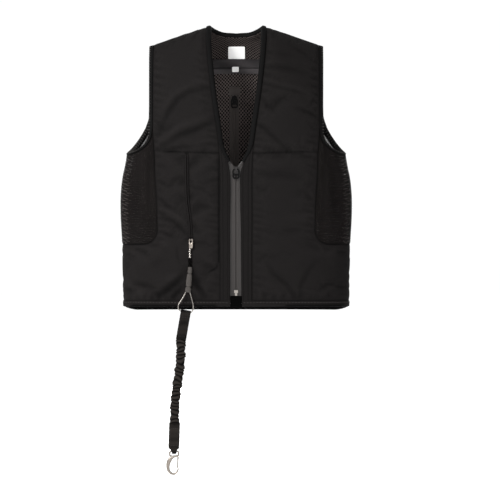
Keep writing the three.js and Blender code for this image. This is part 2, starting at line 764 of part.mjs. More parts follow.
// Side mesh between the two panels
const beside = (edge) => [
  ...edge.below.slice(SIDE_COLUMNS, -1),
  ...edge.beside.slice(0, CORNER_ROWS + EDGE_ROWS + 1),
];
const sideFront = inset(beside(frontEdge), SEAM);
const sideBack = inset(beside(backEdge), -SEAM).map(wrap);
const meshTop = [...meshTopFront, ...meshTopBack.slice(1).map(wrap)];
meshTop[0] = sideFront[sideFront.length - 1];
meshTop[meshTop.length - 1] = sideBack[sideBack.length - 1];
const meshBottom = line(sideFront[0], sideBack[0], meshTop.length - 1);
const meshGrid = patch(meshBottom, meshTop, sideFront, sideBack);

// Bindings: a rounded strip between a free edge and the panel beside it
function bindingGrid(edge, far) {
  return edge.map((place, i) => [place, mixPlaces(place, far[i], 0.5), far[i]]);
}

function bindingWall(edge, far, closed) {
  const grid = bindingGrid(edge, far);
  const depths = [{ top: 1.5, under: WALL - 1.5 }, { top: -BINDING_PROUD, under: WALL + BINDING_PROUD },
    { top: 0, under: WALL }];
  const layer = (key) => grid.map((row) => row.map((place, i) => wallPoint(place, depths[i][key])));
  return slab(layer('top'), layer('under'), closed);
}

// Hem binding round the whole lower edge, from one side of the zip to the other
const hemHalf = [
  ...line(placeAt(PLACKET_INNER, HEM_TOP), frontHem[0], 2).slice(0, 2),
  ...frontHem.slice(0, -1),
  { q: 1, w: reachOf(HEM_TOP) },
  ...backHem.slice((backHem.length - 1) / 2, -1).reverse().map(wrap),
];
const hemTopPath = [...hemHalf, ...mirror(hemHalf).reverse().slice(1)];
const hemGrid = hemTopPath.map(({ q, w }) => [SEAM + 0.2, 0.5 * HEM_HEIGHT, HEM_HEIGHT]
  .map((drop) => ({ q, w: w + Math.sign(w) * drop })));

// Plackets beside the zip
const placketOuter = inset(frontInner.slice(0, PLACKET_ROWS + 1), -SEAM);
placketOuter[PLACKET_ROWS].w += 1.5;
const placketTop = neckPanelEdge.slice(0, 4);
const placketInner = resample([
  placeAt(PLACKET_INNER, HEM_TOP), placeAt(PLACKET_INNER, -420),
  placeAt(PLACKET_INNER, -300), placketTop[0],
], PLACKET_ROWS);
placketTop[3] = placketOuter[PLACKET_ROWS];
const placketGrid = patch(
  line(placketInner[0], placketOuter[0], 3), placketTop, placketInner, placketOuter);

// Strip of wall in front view on one face of the vest
function strip(xs, zs, face = 1) {
  return zs.map((z) => xs.map((x) => placeAt(x, z, face)));
}

// Flat panel on the inside of the back, at a depth under the outer surface
function insidePatch({ x = 0, halfWidth, top, bottom, thick }, depth, columns, rows) {
  const grid = strip(steps(x - halfWidth, x + halfWidth, columns), steps(bottom, top, rows), -1);
  return wall(grid, depth, depth + thick);
}

// Front zip tape of the left side: its upper end spreads to make way for the slider
function tapeGrid() {
  const straight = steps(ZIP_BOTTOM, TAPE_SPREAD[0].z, 9).slice(0, -1)
    .map((z) => ({ z, x: TAPE_SPREAD[0].x }));
  return [...straight, ...TAPE_SPREAD].map(({ x, z }) => [placeAt(x, z), placeAt(TAPE_EDGE, z)]);
}

// Turns a zip fitting made at the origin to stand on a surface at a place and depth
function fitted(geometry, x, z, face, depth) {
  const above = wallPoint(placeAt(x, z + 8, face), depth);
  const below = wallPoint(placeAt(x, z - 8, face), depth);
  const tilt = Math.atan2(below.y - above.y, above.z - below.z);
  const seat = above.clone().add(below).divideScalar(2);
  return geometry.rotateX(tilt).translate(x, seat.y, z);
}

// Slider about the pull's axis: a wedge-shaped plate with a bridge over it; its seat is at y = 0
const PIVOT_Y = -(SEAT + SLIDER.thick + 0.7 + PULL.thick / 2);

function sliderGeometry() {
  const outline = new THREE.Shape();
  const low = -0.62 * SLIDER.height;
  const high = 0.38 * SLIDER.height;
  outline.moveTo(-SLIDER.foot / 2, low);
  outline.lineTo(SLIDER.foot / 2, low);
  outline.lineTo(SLIDER.top / 2, high - 4);
  outline.quadraticCurveTo(SLIDER.top / 2, high, 0, high);
  outline.quadraticCurveTo(-SLIDER.top / 2, high, -SLIDER.top / 2, high - 4);
  const body = plate(outline, SLIDER.thick, -SEAT - SLIDER.thick);
  const bridgeDepth = -PIVOT_Y + PULL.thick - SEAT;
  const bridge = box(SLIDER.bridge, bridgeDepth, 8, 0, -SEAT - bridgeDepth / 2, 0);
  const bore = new THREE.CylinderGeometry(1.45, 1.45, 3 * SLIDER.bridge, 10).rotateZ(Math.PI / 2);
  return cut(join(body, bridge), bore.translate(0, PIVOT_Y, 0));
}

// Pull: a flat loop whose upper bar runs through the bridge
function pullGeometry() {
  const centre = PULL.bar / 2 - PULL.length / 2;
  const outline = roundedShape(PULL.width, PULL.length, 5, 0, centre);
  outline.holes.push(roundedShape(PULL.width - 5, 8.4, 1.5, 0, -PULL.bar / 2 - 4.2));
  outline.holes.push(roundedShape(PULL.width - 6, 4, 1.8, 0, -15));
  return plate(outline, PULL.thick, PIVOT_Y - PULL.thick / 2);
}

// Front of the vest without its folds, moved out by a distance
function outside(x, z, out) {
  const { q, w } = placeAt(x, z);
  return new THREE.Vector3(x, skin(q, w).y - out, z);
}

// Round piece on the line of the trigger
function turned(stations, sides) {
  return sweep(stations.map(({ x = TRIGGER_X, z, radius, wide = radius, thick = radius }) => ({
    centre: outside(x, z, 5), wide, thick,
  })), sides);
}

function slitGrid() {
  const curve = new THREE.SplineCurve(SLIT.map(({ x, z }) => new THREE.Vector2(x, z)));
  return curve.getSpacedPoints(12).map((p) => LIP.map(({ across }) => placeAt(p.x + across, p.y)));
}

function slitGeometry() {
  const grid = slitGrid();
  const layer = (depthOf) => grid.map((row) => row.map((place, i) => wallPoint(place, depthOf(i))));
  return slab(layer((i) => -LIP[i].proud), layer(() => -0.55));
}

function fittingGeometry() {
  const middle = (FITTING.top + FITTING.bottom) / 2;
  const outline = roundedShape(
    FITTING.width, FITTING.top - FITTING.bottom, 1.6, TRIGGER_X, middle);
  const hole = new THREE.Path();
  hole.absarc(TRIGGER_X, FITTING.holeZ, FITTING.hole, 0, 2 * Math.PI);
  outline.holes.push(hole);
  const face = Math.min(
    wallPoint(placeAt(TRIGGER_X, FITTING.top), 0).y, wallPoint(placeAt(TRIGGER_X, FITTING.bottom), 0).y);
  return plate(outline, FITTING.thick, face - 0.6 - FITTING.thick);
}

function ringGeometry() {
  const bend = new THREE.CatmullRomCurve3(
    RING.map(({ x, z }) => new THREE.Vector3(x, ringY(z), z)), false, 'centripetal');
  return sweep(bend.getPoints(30).map((centre) => ({ centre, wide: RING_WIRE, thick: RING_WIRE })), 6);
}

// The ring leaves the sleeve against the vest and ends at the plane of the lanyard
function ringY(z) {
  return THREE.MathUtils.lerp(outside(-101, -543, 5).y, RING_Y, fade(-543, -576, z));
}

// Webbing folded round the bar of the ring, made about the bar and leaned to the strap's line
function topTabGeometry() {
  const half = STRAP.thick / 2;
  const profile = new THREE.Shape();
  profile.absarc(0, 0, STRAP.eye, -0.25 * Math.PI, 1.25 * Math.PI);
  profile.lineTo(-half, -2 * STRAP.eye);
  profile.lineTo(-half, -TAB_LENGTH);
  profile.lineTo(half, -TAB_LENGTH);
  profile.lineTo(half, -2 * STRAP.eye);
  const bore = new THREE.Path();
  bore.absarc(0, 0, STRAP.bore + RING_WIRE * 0.3, 0, 2 * Math.PI);
  profile.holes.push(bore);
  const made = new THREE.ExtrudeGeometry(
    profile, { depth: STRAP.width - 4, bevelEnabled: false, curveSegments: 8 });
  made.translate(0, 0, -(STRAP.width - 4) / 2);
  const basis = new THREE.Matrix4().makeBasis(
    new THREE.Vector3(0, 1, 0), new THREE.Vector3(0, 0, 1), new THREE.Vector3(1, 0, 0));
  return made.applyMatrix4(basis).rotateY(LEAN).translate(RING[7].x, RING_Y, RING[7].z);
}

// Gathered sleeve over the elastic: each gather swells and pinches
function bungeeGeometry() {
  const count = 2 * BUNGEE.gathers;
  const from = new THREE.Vector3(BUNGEE.top[0], RING_Y, BUNGEE.top[1]);
  const to = new THREE.Vector3(BUNGEE.bottom[0], RING_Y, BUNGEE.bottom[1]);
  return sweep(steps(0, 1, count).map((t, i) => {
    const sway = 2.5 * Math.sin(2 * Math.PI * t);
    const centre = from.clone().lerp(to, t);
    const swell = i % 2 ? 1 + 0.09 * Math.sin(2.3 * i) : 0.74 + 0.07 * Math.sin(1.7 * i);
    centre.x += sway + (i % 2 ? 0.8 * Math.sin(1.9 * i) : 0);
    return { centre, wide: BUNGEE.wide * swell, thick: BUNGEE.thick * swell };
  }), 8);
}

// Lower end of the webbing with the loop that carries the hook
function endTabGeometry() {
  const from = new THREE.Vector3(END_STRAP.top[0], RING_Y, END_STRAP.top[1]);
  const to = new THREE.Vector3(END_STRAP.bottom[0], RING_Y, END_STRAP.bottom[1]);
  const flat = [
    { t: 0, wide: 0.44, thick: 3 },
    { t: 0.2, wide: 0.56, thick: 2.6 },
    { t: 0.8, wide: 0.54, thick: 2.6 },
    { t: 1, wide: 0.34, thick: 2.4 },
  ].map(({ t, wide, thick }) => ({
    centre: from.clone().lerp(to, t), wide: wide * END_STRAP.width, thick,
  }));
  const strap = sweep(flat, 8);
  const loop = new THREE.TorusGeometry(HOOK_LOOP.radius, HOOK_LOOP.wire, 6, 14)
    .scale(1, 1, HOOK_LOOP.wide).rotateY(Math.PI / 2).translate(HOOK_LOOP.x, RING_Y, HOOK_LOOP.z);
  return join(strap, loop);
}

// Hook with a flat eye, whose top bar lies in the loop of the webbing
function hookGeometry() {
  const round = (value) => Math.sign(value) * Math.abs(value) ** 0.6;
  const eye = sweep(Array.from({ length: 20 }, (_, k) => {
    const angle = (k / 20) * 2 * Math.PI;
    const x = HOOK_EYE.x + HOOK_EYE.wide * round(Math.cos(angle));
    const z = HOOK_EYE.z + HOOK_EYE.high * round(Math.sin(angle));
    return { centre: new THREE.Vector3(x, RING_Y, z), wide: HOOK_EYE.wire, thick: HOOK_EYE.wire };
  }), 6, true);
  const curve = new THREE.CatmullRomCurve3(
    HOOK.map(({ x, z }) => new THREE.Vector3(x, RING_Y, z)), false, 'centripetal');
  const sizes = new THREE.SplineCurve(HOOK.map(({ wide, thick }) => new THREE.Vector2(wide, thick)));
  const bar = sweep(steps(0, 1, 22).map((t) => {
    const size = sizes.getPoint(t);
    return { centre: curve.getPoint(t), wide: size.x, thick: size.y };
  }), 8);
  return join(bar, eye);
}

function gateGeometry() {
  const from = new THREE.Vector3(GATE.top[0], RING_Y, GATE.top[1]);
  const to = new THREE.Vector3(GATE.foot[0], RING_Y, GATE.foot[1]);
  const flare = [0.7, 1.1, 0.85, 0.85, 1.3];
  return sweep(steps(0, 1, 4).map((t, i) => ({
    centre: from.clone().lerp(to, t), wide: GATE.radius * flare[i], thick: GATE.radius * flare[i],
  })), 8);
}

const group = new THREE.Group();
group.name = 'airbag_vest';

function add(name, geometry, surface) {
  const mesh = new THREE.Mesh(geometry, surface);
  mesh.name = name;
  group.add(mesh);
}

// Mirrors a grid of places to the wearer's right
const rightOf = (grid) => grid.map((row) => mirror(row));

add('front_panel_right', wall(rightOf(frontGrid), 0, WALL), softshell);
add('front_panel_left', wall(frontGrid, 0, WALL), softshell);
add('back_panel', wall(backGrid, 0, WALL), softshell);
const liningGrid = backGrid.slice(1, -1).map((row, j) => {
  const inner = j < BAND_ROWS ? 1 : blank.length + 1;
  return row.map((place, i) => (i < inner || i >= row.length - inner ? null : place));
});
add('back_lining', wall(liningGrid, WALL + SEAM, WALL + SEAM + LINING_WALL), liningFabric);
add('side_mesh_right', wall(rightOf(meshGrid), MESH_RECESS, MESH_RECESS + MESH_WALL), meshFabric);
add('side_mesh_left', wall(meshGrid, MESH_RECESS, MESH_RECESS + MESH_WALL), meshFabric);
add('neck_binding', bindingWall(neckPath, neckFar, false), bindingFabric);
add('armhole_binding_right', bindingWall(mirror(armPath), mirror(armFar), true), bindingFabric);
add('armhole_binding_left', bindingWall(armPath, armFar, true), bindingFabric);
add('hem_binding', wall(hemGrid, 0, WALL), softshell);
add('placket_right', wall(rightOf(placketGrid), PLACKET_DEPTH.outer, PLACKET_DEPTH.inner), softshell);
add('placket_left', wall(placketGrid, PLACKET_DEPTH.outer, PLACKET_DEPTH.inner), softshell);

const frontTape = tapeGrid();
add('zip_tape_right', wall(rightOf(frontTape), TAPE_DEPTH.outer, TAPE_DEPTH.inner), zipTape);
add('zip_tape_left', wall(frontTape, TAPE_DEPTH.outer, TAPE_DEPTH.inner), zipTape);
const coilGrid = strip([-COIL.halfWidth, COIL.halfWidth], steps(ZIP_BOTTOM, TAPE_SPREAD[0].z, 9));
add('zip_coil', wall(coilGrid, COIL.outer, COIL.inner), blackPlastic);
add('zip_slider', fitted(sliderGeometry(), 0, SLIDER_Z, 1, TAPE_DEPTH.outer), zipMetal);
add('zip_pull', fitted(pullGeometry(), 0, SLIDER_Z, 1, TAPE_DEPTH.outer), zipMetal);
const stop = join(box(8, 2.2, 6, 0, -1.1 - SEAT, 2), box(5, 1.8, 7, 0, -0.9 - SEAT, -3));
add('zip_stop', fitted(stop, 0, STOP_Z, 1, TAPE_DEPTH.outer), steel);
const tabGrid = strip(
  [-END_TAB.halfWidth, 0, END_TAB.halfWidth], steps(HEM_TOP - HEM_HEIGHT, ZIP_BOTTOM - SEAM, 3));
add('zip_end_tab', wall(tabGrid, END_TAB.outer, END_TAB.inner), blackPlastic);

add('neck_band', insidePatch(NECK_BAND, NECK_INSIDE, 6, 3), satin);
add('neck_label', insidePatch(NECK_LABEL, NECK_INSIDE, 2, 3), labelCloth);
add('size_tag', insidePatch(SIZE_TAG, NECK_INSIDE + NECK_BAND.thick + SEAT, 1, 2), labelCloth);
add('lining_zip_garage', insidePatch({ ...GARAGE, x: LINING_ZIP.x }, INSIDE, 2, 2), satin);
add('lining_zip_tape', insidePatch(LINING_ZIP, INSIDE, 2, 10), zipTape);
const liningCoil = { ...LINING_ZIP, halfWidth: 2.4, top: LINING_ZIP.top - 2, thick: 1.4 };
const coilDepth = INSIDE + LINING_ZIP.thick + SEAT;
add('lining_zip_coil', insidePatch(liningCoil, coilDepth, 1, 10), blackPlastic);
const sliderDepth = coilDepth + liningCoil.thick;
add('lining_zip_slider',
  fitted(sliderGeometry(), LINING_ZIP.x, LINING_SLIDER_Z, -1, sliderDepth), zipMetal);
add('lining_zip_pull',
  fitted(pullGeometry(), LINING_ZIP.x, LINING_SLIDER_Z, -1, sliderDepth), zipMetal);

add('pocket_welt', slitGeometry(), softshell);
add('trigger_fitting', fittingGeometry(), steel);
add('trigger_beads', turned(BEADS, 8), steel);
add('trigger_cord', turned([
  { z: CORD.top, radius: CORD.radius },
  { z: CORD.bottom, radius: CORD.radius },
], 8), blackPlastic);
add('cable_sleeve', turned(SLEEVE, 10), sleeveRubber);
add('wire_ring', ringGeometry(), steel);
add('lanyard_top_tab', topTabGeometry(), webbing);
add('lanyard_bungee', bungeeGeometry(), webbing);
add('lanyard_end_tab', endTabGeometry(), webbing);
add('hook_body', hookGeometry(), steel);
add('hook_gate', gateGeometry(), steel);

export default group;
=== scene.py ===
"""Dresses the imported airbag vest: padded fronts and back, ribbed mesh sides, bindings, zips, labels,
the trigger cable and the gathered lanyard with its hook. Lengths below are millimetres in the
vest's frame: +Z up, the front faces -Y, the wearer's right is -X."""

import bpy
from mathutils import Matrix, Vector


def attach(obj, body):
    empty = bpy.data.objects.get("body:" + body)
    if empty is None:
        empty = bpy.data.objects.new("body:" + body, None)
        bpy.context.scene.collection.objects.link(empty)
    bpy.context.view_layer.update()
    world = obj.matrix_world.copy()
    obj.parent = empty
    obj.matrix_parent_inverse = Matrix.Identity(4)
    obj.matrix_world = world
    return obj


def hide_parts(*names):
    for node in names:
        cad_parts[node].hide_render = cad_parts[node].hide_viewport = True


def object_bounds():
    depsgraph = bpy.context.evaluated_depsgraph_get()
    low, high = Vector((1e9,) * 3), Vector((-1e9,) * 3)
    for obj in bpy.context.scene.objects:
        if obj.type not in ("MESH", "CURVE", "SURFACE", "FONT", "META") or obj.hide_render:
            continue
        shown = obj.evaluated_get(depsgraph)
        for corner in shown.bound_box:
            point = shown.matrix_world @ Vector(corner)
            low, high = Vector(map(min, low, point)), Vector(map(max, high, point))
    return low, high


bl_info = {
    "name": "Airbag vest",
    "version": (1, 0, 0),
    "blender": (4, 5, 0),
    "location": "View3D > Sidebar > Vest",
    "description": "Builds the cloth, zips and trigger lanyard of an airbag vest on its packed frame",
    "category": "Object",
}

from functools import cache
from types import SimpleNamespace

import bpy
import numpy as np
from bpy.props import FloatProperty, FloatVectorProperty, IntProperty, PointerProperty

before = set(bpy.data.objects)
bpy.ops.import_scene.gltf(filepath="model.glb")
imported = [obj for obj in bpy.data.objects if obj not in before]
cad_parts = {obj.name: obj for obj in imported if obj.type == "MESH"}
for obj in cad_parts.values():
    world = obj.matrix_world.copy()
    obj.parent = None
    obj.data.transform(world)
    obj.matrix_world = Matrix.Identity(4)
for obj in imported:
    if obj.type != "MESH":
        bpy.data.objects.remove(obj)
CAD_BOX = [list(corner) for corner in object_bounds()]
MM = 0.001
BODY = "vest"
UV_NAME = "cloth"
# Painted shading: a per-point attribute that paints shade into the valleys of folds and seams and highlight
# onto their ridges, in shares per millimetre of height
SHADING_NAME = "tone"
SHADING_PER_MM = 0.16
BLANK_PLACE = 50.0

# Padding that settles as cloth
FOLD_SHARE = 0.75
SETTLE_FRAMES = 20
SETTLE_CAP = 2.5
SETTLE_HELD = 6.0
SETTLE_CLOTH = {
    "quality": 6, "mass": 0.02, "bending_stiffness": 0.3, "vertex_group_mass": "sewn",
    "use_pressure": True, "uniform_pressure_force": 1.5, "shrink_min": -0.012,
}

# Walls
WALL = 10.0
MESH_RECESS = 2.0
MESH_WALL = 3.0
LINING_WALL = 1.7
SEAM = 0.12
CAD_SEAM = 0.45

# Torso: height, half-width, front half-depth, back half-depth
ROUNDNESS = 2.5
POWER = 2 / ROUNDNESS
TORSO = np.array([
    (30, 206, 92, 92),
    (-60, 210, 93, 94),
    (-150, 216, 95, 95),
    (-255, 231, 95, 93),
    (-310, 240.5, 94, 90),
    (-385, 243.8, 91, 87),
    (-450, 239, 88, 84),
    (-600, 236.5, 85, 82),
])

# Search for the row of a height
LOWEST = -700.0
HALVINGS = 40

# Shoulders
SHOULDER_TOP = 23.7
SHOULDER_SLOPE = 0.36
SHOULDER_ROUND = 40.0
SHOULDER_FADE = (-250.0, -20.0)
DOME = 170.0
DOME_ARC = DOME * np.pi / 2

# Hem
HEM_TOP = -561.0
HEM_HEIGHT = 12.5
HEM_STEP = 2.0
HEM_RIPPLE = 9.0
HEM_RISE = 0.3
TAIL_DROP = 8.0

# Neck edge of one half: x, z and width of the binding in front, x and distance over the back
NECK_FRONT = np.array([
    (11.5, -272, 6), (16.5, -262, 7), (22.5, -249, 9), (26.5, -234, 10), (31.6, -196, 10),
    (38, -154, 10), (42.8, -120, 10), (47, -85, 10), (51, -45, 10), (53, -15, 10),
])
NECK_POINT = 53.5
NECK_BACK = np.array([(51, -24), (42, -55), (24, -80), (0, -88)])
NECK_BINDING = 10.0

# Armhole edge of one half, in front view: x, z
SHOULDER_POINT = 182.5
ARM_FRONT = np.array([(182.5, -60), (182, -120), (182, -170), (182.5, -201)])
ARM_FRONT_MESH = np.array([(185.5, -225), (196, -240), (212, -250)])
ARM_BACK_MESH = np.array([(222, -242), (212, -230), (202, -215)])
ARM_BACK = np.array([(193, -199), (186, -178), (182, -140), (182.5, -80)])
UNDERARM = -253.0
ARM_BINDING = 9.0
MESH_BINDING = 3.4

# Front edge of the side mesh, in front view: x, z
MESH_BOTTOM = -445.0
MESH_CORNER = 31.0
MESH_EDGE = np.array([(163, -414), (164, -373), (166, -331), (169, -269), (171.5, -232)])

# Front opening
PLACKET_OUTER = 33.4
PLACKET_INNER = 12.2
PLACKET_DEPTH = 4.2
PLACKET_OVER = np.array([(-600, 1.2), (-420, 2.8), (-300, 4.0), (-270, 1.0)])
TAPE_DEPTH = (4.7, 5.9)
TAPE_EDGE = 17.0
COIL_DEPTH = 7.4
COIL_PITCH = 1.5
TAPE_SPREAD = np.array([(-292, 0.3), (-286, 2.5), (-279, 6.5), (-272, 11.5)])
ZIP_BOTTOM = -551.0
END_TAB = 11.8
END_TAB_DEPTH = 5.6

# Inside of the back, in front view
INSIDE = WALL + CAD_SEAM + LINING_WALL + 0.8
NECK_INSIDE = INSIDE + 0.5
LINING_MARGIN = 6
LINING_ZIP_X = -4.0
LINING_ZIP_FOOT = -330.0

# Trigger slit in front view: x, z
SLIT = np.array([(-102, -258), (-101.5, -290), (-100, -352), (-94.6, -398), (-93.8, -430)])
TRIGGER_X = -95.3
TRIGGER_OUT = 5.0

# Lanyard
STRAP_Y = -90.0
RING_WIRE = 1.25
RING = np.array([
    (-104.4, -543.6), (-108.2, -551.5), (-114, -561), (-119, -569), (-119.4, -576),
    (-116.4, -580.6), (-112.8, -582.5), (-104, -584), (-95.2, -585.5), (-91.4, -583.2),
    (-88.9, -578), (-88.6, -570), (-90.6, -561), (-93, -552), (-95.2, -543.8),
])
RING_TOP = (-101.0, -543.0)
RING_LEVEL = -576.0
RING_BAR = (-104.0, -584.0)
TAB_FOOT = (-114.0, -642.0)
BUNGEE_FOOT = (-127.0, -813.6)
STRAP_FOOT = (-128.8, -868.0)
HOOK_EYE = (-128.0, -876.9)
EYE_HALF = (9.3, 5.4)
EYE_WIRE = 1.8
LOOP_BAR = (-128.0, -872.0)
LOOP_FOOT = (STRAP_FOOT[0], STRAP_FOOT[1] + 6)
TAB_SHADE = 1.1
BUNGEE_SWAY = 2.2
HOOK = np.array([
    (-120.2, -880.6, 1.8, 1.9), (-124.6, -882, 2.2, 2.3), (-130.4, -883.6, 2.9, 2.8),
    (-136, -888.2, 4.2, 3.2), (-139.6, -895.4, 4.2, 3.3), (-140.7, -903.5, 3.6, 3.1),
    (-139.4, -911.2, 3.1, 2.9), (-134.6, -917, 2.5, 2.6), (-128, -918.6, 2.2, 2.4),
    (-122.4, -915, 1.8, 2.0), (-119, -907.2, 1.5, 1.6),
])
GATE = ((-119.9, -883.0), (-120.9, -906.0))
GATE_RADIUS = 1.6

# Folds in the fronts, in front view: width, height and the x, z of points along each
FOLDS = (
    (7, -3.0, ((-163, -222), (-141, -173), (-120, -142), (-95, -127), (-56, -122))),
    (8, 1.5, ((-157, -170), (-132, -136), (-85, -109), (-58, -104))),
    (7, -3.2, ((-158, -246), (-116, -218), (-85, -208), (-47, -190))),
    (7, 1.6, ((-157, -229), (-116, -200), (-64, -183))),
    (5, -1.6, ((-147, -250), (-112, -243), (-40, -234))),
    (5, 1.0, ((-136, -240), (-85, -238), (-40, -226))),
    (7, -2.0, ((72, -75), (100, -78), (142, -86))),
    (4, -1.4, ((62, -113), (100, -122), (157, -134))),
    (5, 1.0, ((60, -104), (100, -113), (150, -124))),
    (5, -2.2, ((39, -191), (64, -208), (90, -232), (107, -249))),
    (6, -1.4, ((54, -146), (82, -171))),
    (5, -1.8, ((128, -162), (150, -170), (169, -179))),
    (4, 1.0, ((132, -125), (165, -136))),
    (5, -1.6, ((111, -30), (140, -45), (157, -59))),
    (6, -1.2, ((70, -45), (120, -52))),
    (4, 0.9, ((60, -63), (100, -66))),
    (4, -2.0, ((-161, -348), (-141, -365), (-128, -372))),
    (4, -2.0, ((-157, -382), (-130, -396), (-103, -421))),
    (4, 1.2, ((-150, -372), (-120, -386), (-104, -402))),
    (4, -1.2, ((-161, -311), (-141, -324))),
    (5, -1.2, ((-151, -419), (-126, -431))),
    (3, -1.4, ((-122, -450), (-120, -472), (-114, -485))),
    (6, 1.0, ((-160, -440), (-140, -446))),
    (9, -4.5, ((-101, -499), (-124, -524), (-149, -543), (-167, -557))),
    (6, -3.5, ((-107, -530), (-136, -559))),
    (7, -4.5, ((-87, -501), (-81, -528), (-66, -551))),
    (8, 2.0, ((-147, -520), (-112, -503))),
    (9, -1.5, ((-186, -518), (-174, -543))),
    (8, -1.2, ((-151, -475), (-178, -493))),
    (4, -1.5, ((-95, -324), (-68, -330), (-50, -346))),
    (4, -1.0, ((-58, -313), (-30, -309))),
    (4, -1.3, ((-77, -439), (-37, -450))),
    (6, -1.0, ((-31, -487), (-58, -508))),
    (6, -0.8, ((-80, -362), (-50, -372))),
    (6, -2.2, ((64, -481), (80, -507), (105, -526), (128, -557))),
    (6, -1.8, ((169, -477), (153, -497), (138, -524), (130, -557))),
    (10, -1.4, ((40, -301), (90, -299), (132, -303))),
    (8, 1.0, ((101, -388), (165, -386))),
    (6, -1.2, ((101, -415), (132, -416))),
    (6, -1.2, ((184, -532), (205, -524))),
    (6, -0.9, ((54, -338), (70, -322))),
    (5, -1.8, ((-203, -262), (-204, -330), (-207, -400))),
    (4, -2.0, ((-179, -240), (-181, -330), (-178, -420))),
    (5, -1.8, ((183, -262), (184, -330), (184, -400))),
    (5, -1.8, ((209, -265), (211, -330), (205, -400))),
)

# Sewn lines across the fronts, in front view
CHEST_SEAM = {"right": np.array([(-176, -251), (-34, -256)]), "left": np.array([(36, -256), (172, -252)])}
POCKET_PATCH = np.array([(-36, -262), (-36, -478), (-40, -492), (-55, -501)])

# Mesh counts
BAND_ROWS = 48
CORNER_STEPS = 14
EDGE_ROWS = 70
NECK_ROWS = 110
PLACKET_ROWS = BAND_ROWS + CORNER_STEPS + EDGE_ROWS
FRONT_COLUMNS = 64
SIDE_COLUMNS = 16
NECK_COLUMNS = 60
YOKE_COLUMNS = 40
UNDERARM_STEPS = 28
UV_STEPS = 25


COLOUR = {"size": 3, "min": 0, "max": 1, "subtype": "COLOR"}


class VestSizes(bpy.types.PropertyGroup):
    """Sizes of the sewn detail."""

    seam_dip: FloatProperty(
        name="Seam dip", description="How far the padding sinks where it is sewn",
        default=0.0016, min=0, unit="LENGTH")
    seam_roll: FloatProperty(
        name="Seam roll", description="Width over which the padding rises from a seam",
        default=0.007, min=0.001, unit="LENGTH")
    mesh_rib: FloatProperty(
        name="Mesh rib", description="Pitch of the ribs of the side mesh",
        default=0.0052, min=0.001, unit="LENGTH")
    binding_rib: FloatProperty(
        name="Binding rib", description="Pitch of the ribs of the edge bindings",
        default=0.0034, min=0.001, unit="LENGTH")
    stitch: FloatProperty(
        name="Stitch", description="Length of one topstitch",
        default=0.0032, min=0.001, unit="LENGTH")
    gathers: IntProperty(
        name="Gathers", description="Gathers along the elastic of the lanyard", default=21, min=1)


class VestColours(bpy.types.PropertyGroup):
    """Colours of the main finishes."""

    softshell: FloatVectorProperty(
        name="Softshell", description="Outer cloth of the fronts, the back and the hem",
        default=(0.0064, 0.0057, 0.0056), **COLOUR)
    side_mesh: FloatVectorProperty(
        name="Side mesh", description="Ribbed stretch mesh under the arms",
        default=(0.0047, 0.004, 0.0038), **COLOUR)
    lining: FloatVectorProperty(
        name="Lining", description="Spacer mesh inside the back",
        default=(0.065, 0.0542, 0.0513), **COLOUR)
    binding: FloatVectorProperty(
        name="Binding", description="Elastic bindings of the neck and armholes",
        default=(0.0034, 0.0033, 0.0033), **COLOUR)
    zip_tape: FloatVectorProperty(
        name="Zip tape", description="Coated tapes of the zips",
        default=(0.021, 0.0188, 0.018), **COLOUR)
    steel: FloatVectorProperty(
        name="Steel", description="Hook, ring and trigger fittings",
        default=(0.21, 0.187, 0.165), **COLOUR)
    webbing: FloatVectorProperty(
        name="Webbing", description="Lanyard",
        default=(0.0102, 0.0086, 0.0075), **COLOUR)


# The body's surface

def fade(a, b, value):
    """Smooth step from 0 at a to 1 at b."""
    t = np.clip((value - a) / (b - a), 0, 1)
    return t * t * (3 - 2 * t)


def mix(a, b, t):
    """Straight blend from a to b."""
    return a + (b - a) * t


def unit(vectors):
    """Vectors at length one."""
    return vectors / np.maximum(np.linalg.norm(vectors, axis=-1, keepdims=True), 1e-9)


def torso_at(level):
    """Half-width, front and back half-depth at a height: a cubic through the rows of TORSO whose
    slope at a row is that of the chord between its neighbours."""
    heights, values = TORSO[:, 0], TORSO[:, 1:]
    order = np.arange(len(heights))
    ahead = np.minimum(order + 1, len(order) - 1)
    behind = np.maximum(order - 1, 0)
    slope = (values[ahead] - values[behind]) / (heights[ahead] - heights[behind])[:, None]
    row = np.clip(np.searchsorted(-heights, -level), 1, len(order) - 1)
    step = (heights[row] - heights[row - 1])[..., None]
    t = np.clip((level - heights[row - 1])[..., None] / step, 0, 1)
    h00 = 2 * t**3 - 3 * t**2 + 1
    size = (h00 * values[row - 1] + (t**3 - 2 * t**2 + t) * step * slope[row - 1]
            + (1 - h00) * values[row] + (t**3 - t**2) * step * slope[row])
    return size[..., 0], size[..., 1], size[..., 2]


def shoulder_drop(x):
    """Fall of the shoulder line away from the neck, a hyperbola in x."""
    return SHOULDER_SLOPE * (SHOULDER_ROUND - np.hypot(x, SHOULDER_ROUND))


def slope_share(level):
    """Share of that fall that a height keeps."""
    return fade(*SHOULDER_FADE, level)


def level_of(reach):
    """Height of the row that lies this far down from the shoulder line: a quarter round, then plumb."""
    angle = np.minimum(reach, DOME_ARC) / DOME
    return SHOULDER_TOP - DOME * (1 - np.cos(angle)) - np.maximum(0, reach - DOME_ARC)


def reach_of(level):
    """Distance down from the shoulder line of a height."""
    drop = SHOULDER_TOP - np.asarray(level, float)
    curved = DOME * np.arccos(1 - np.clip(drop, 0, DOME) / DOME)
    return np.where(drop > DOME, DOME_ARC + drop - DOME, curved)


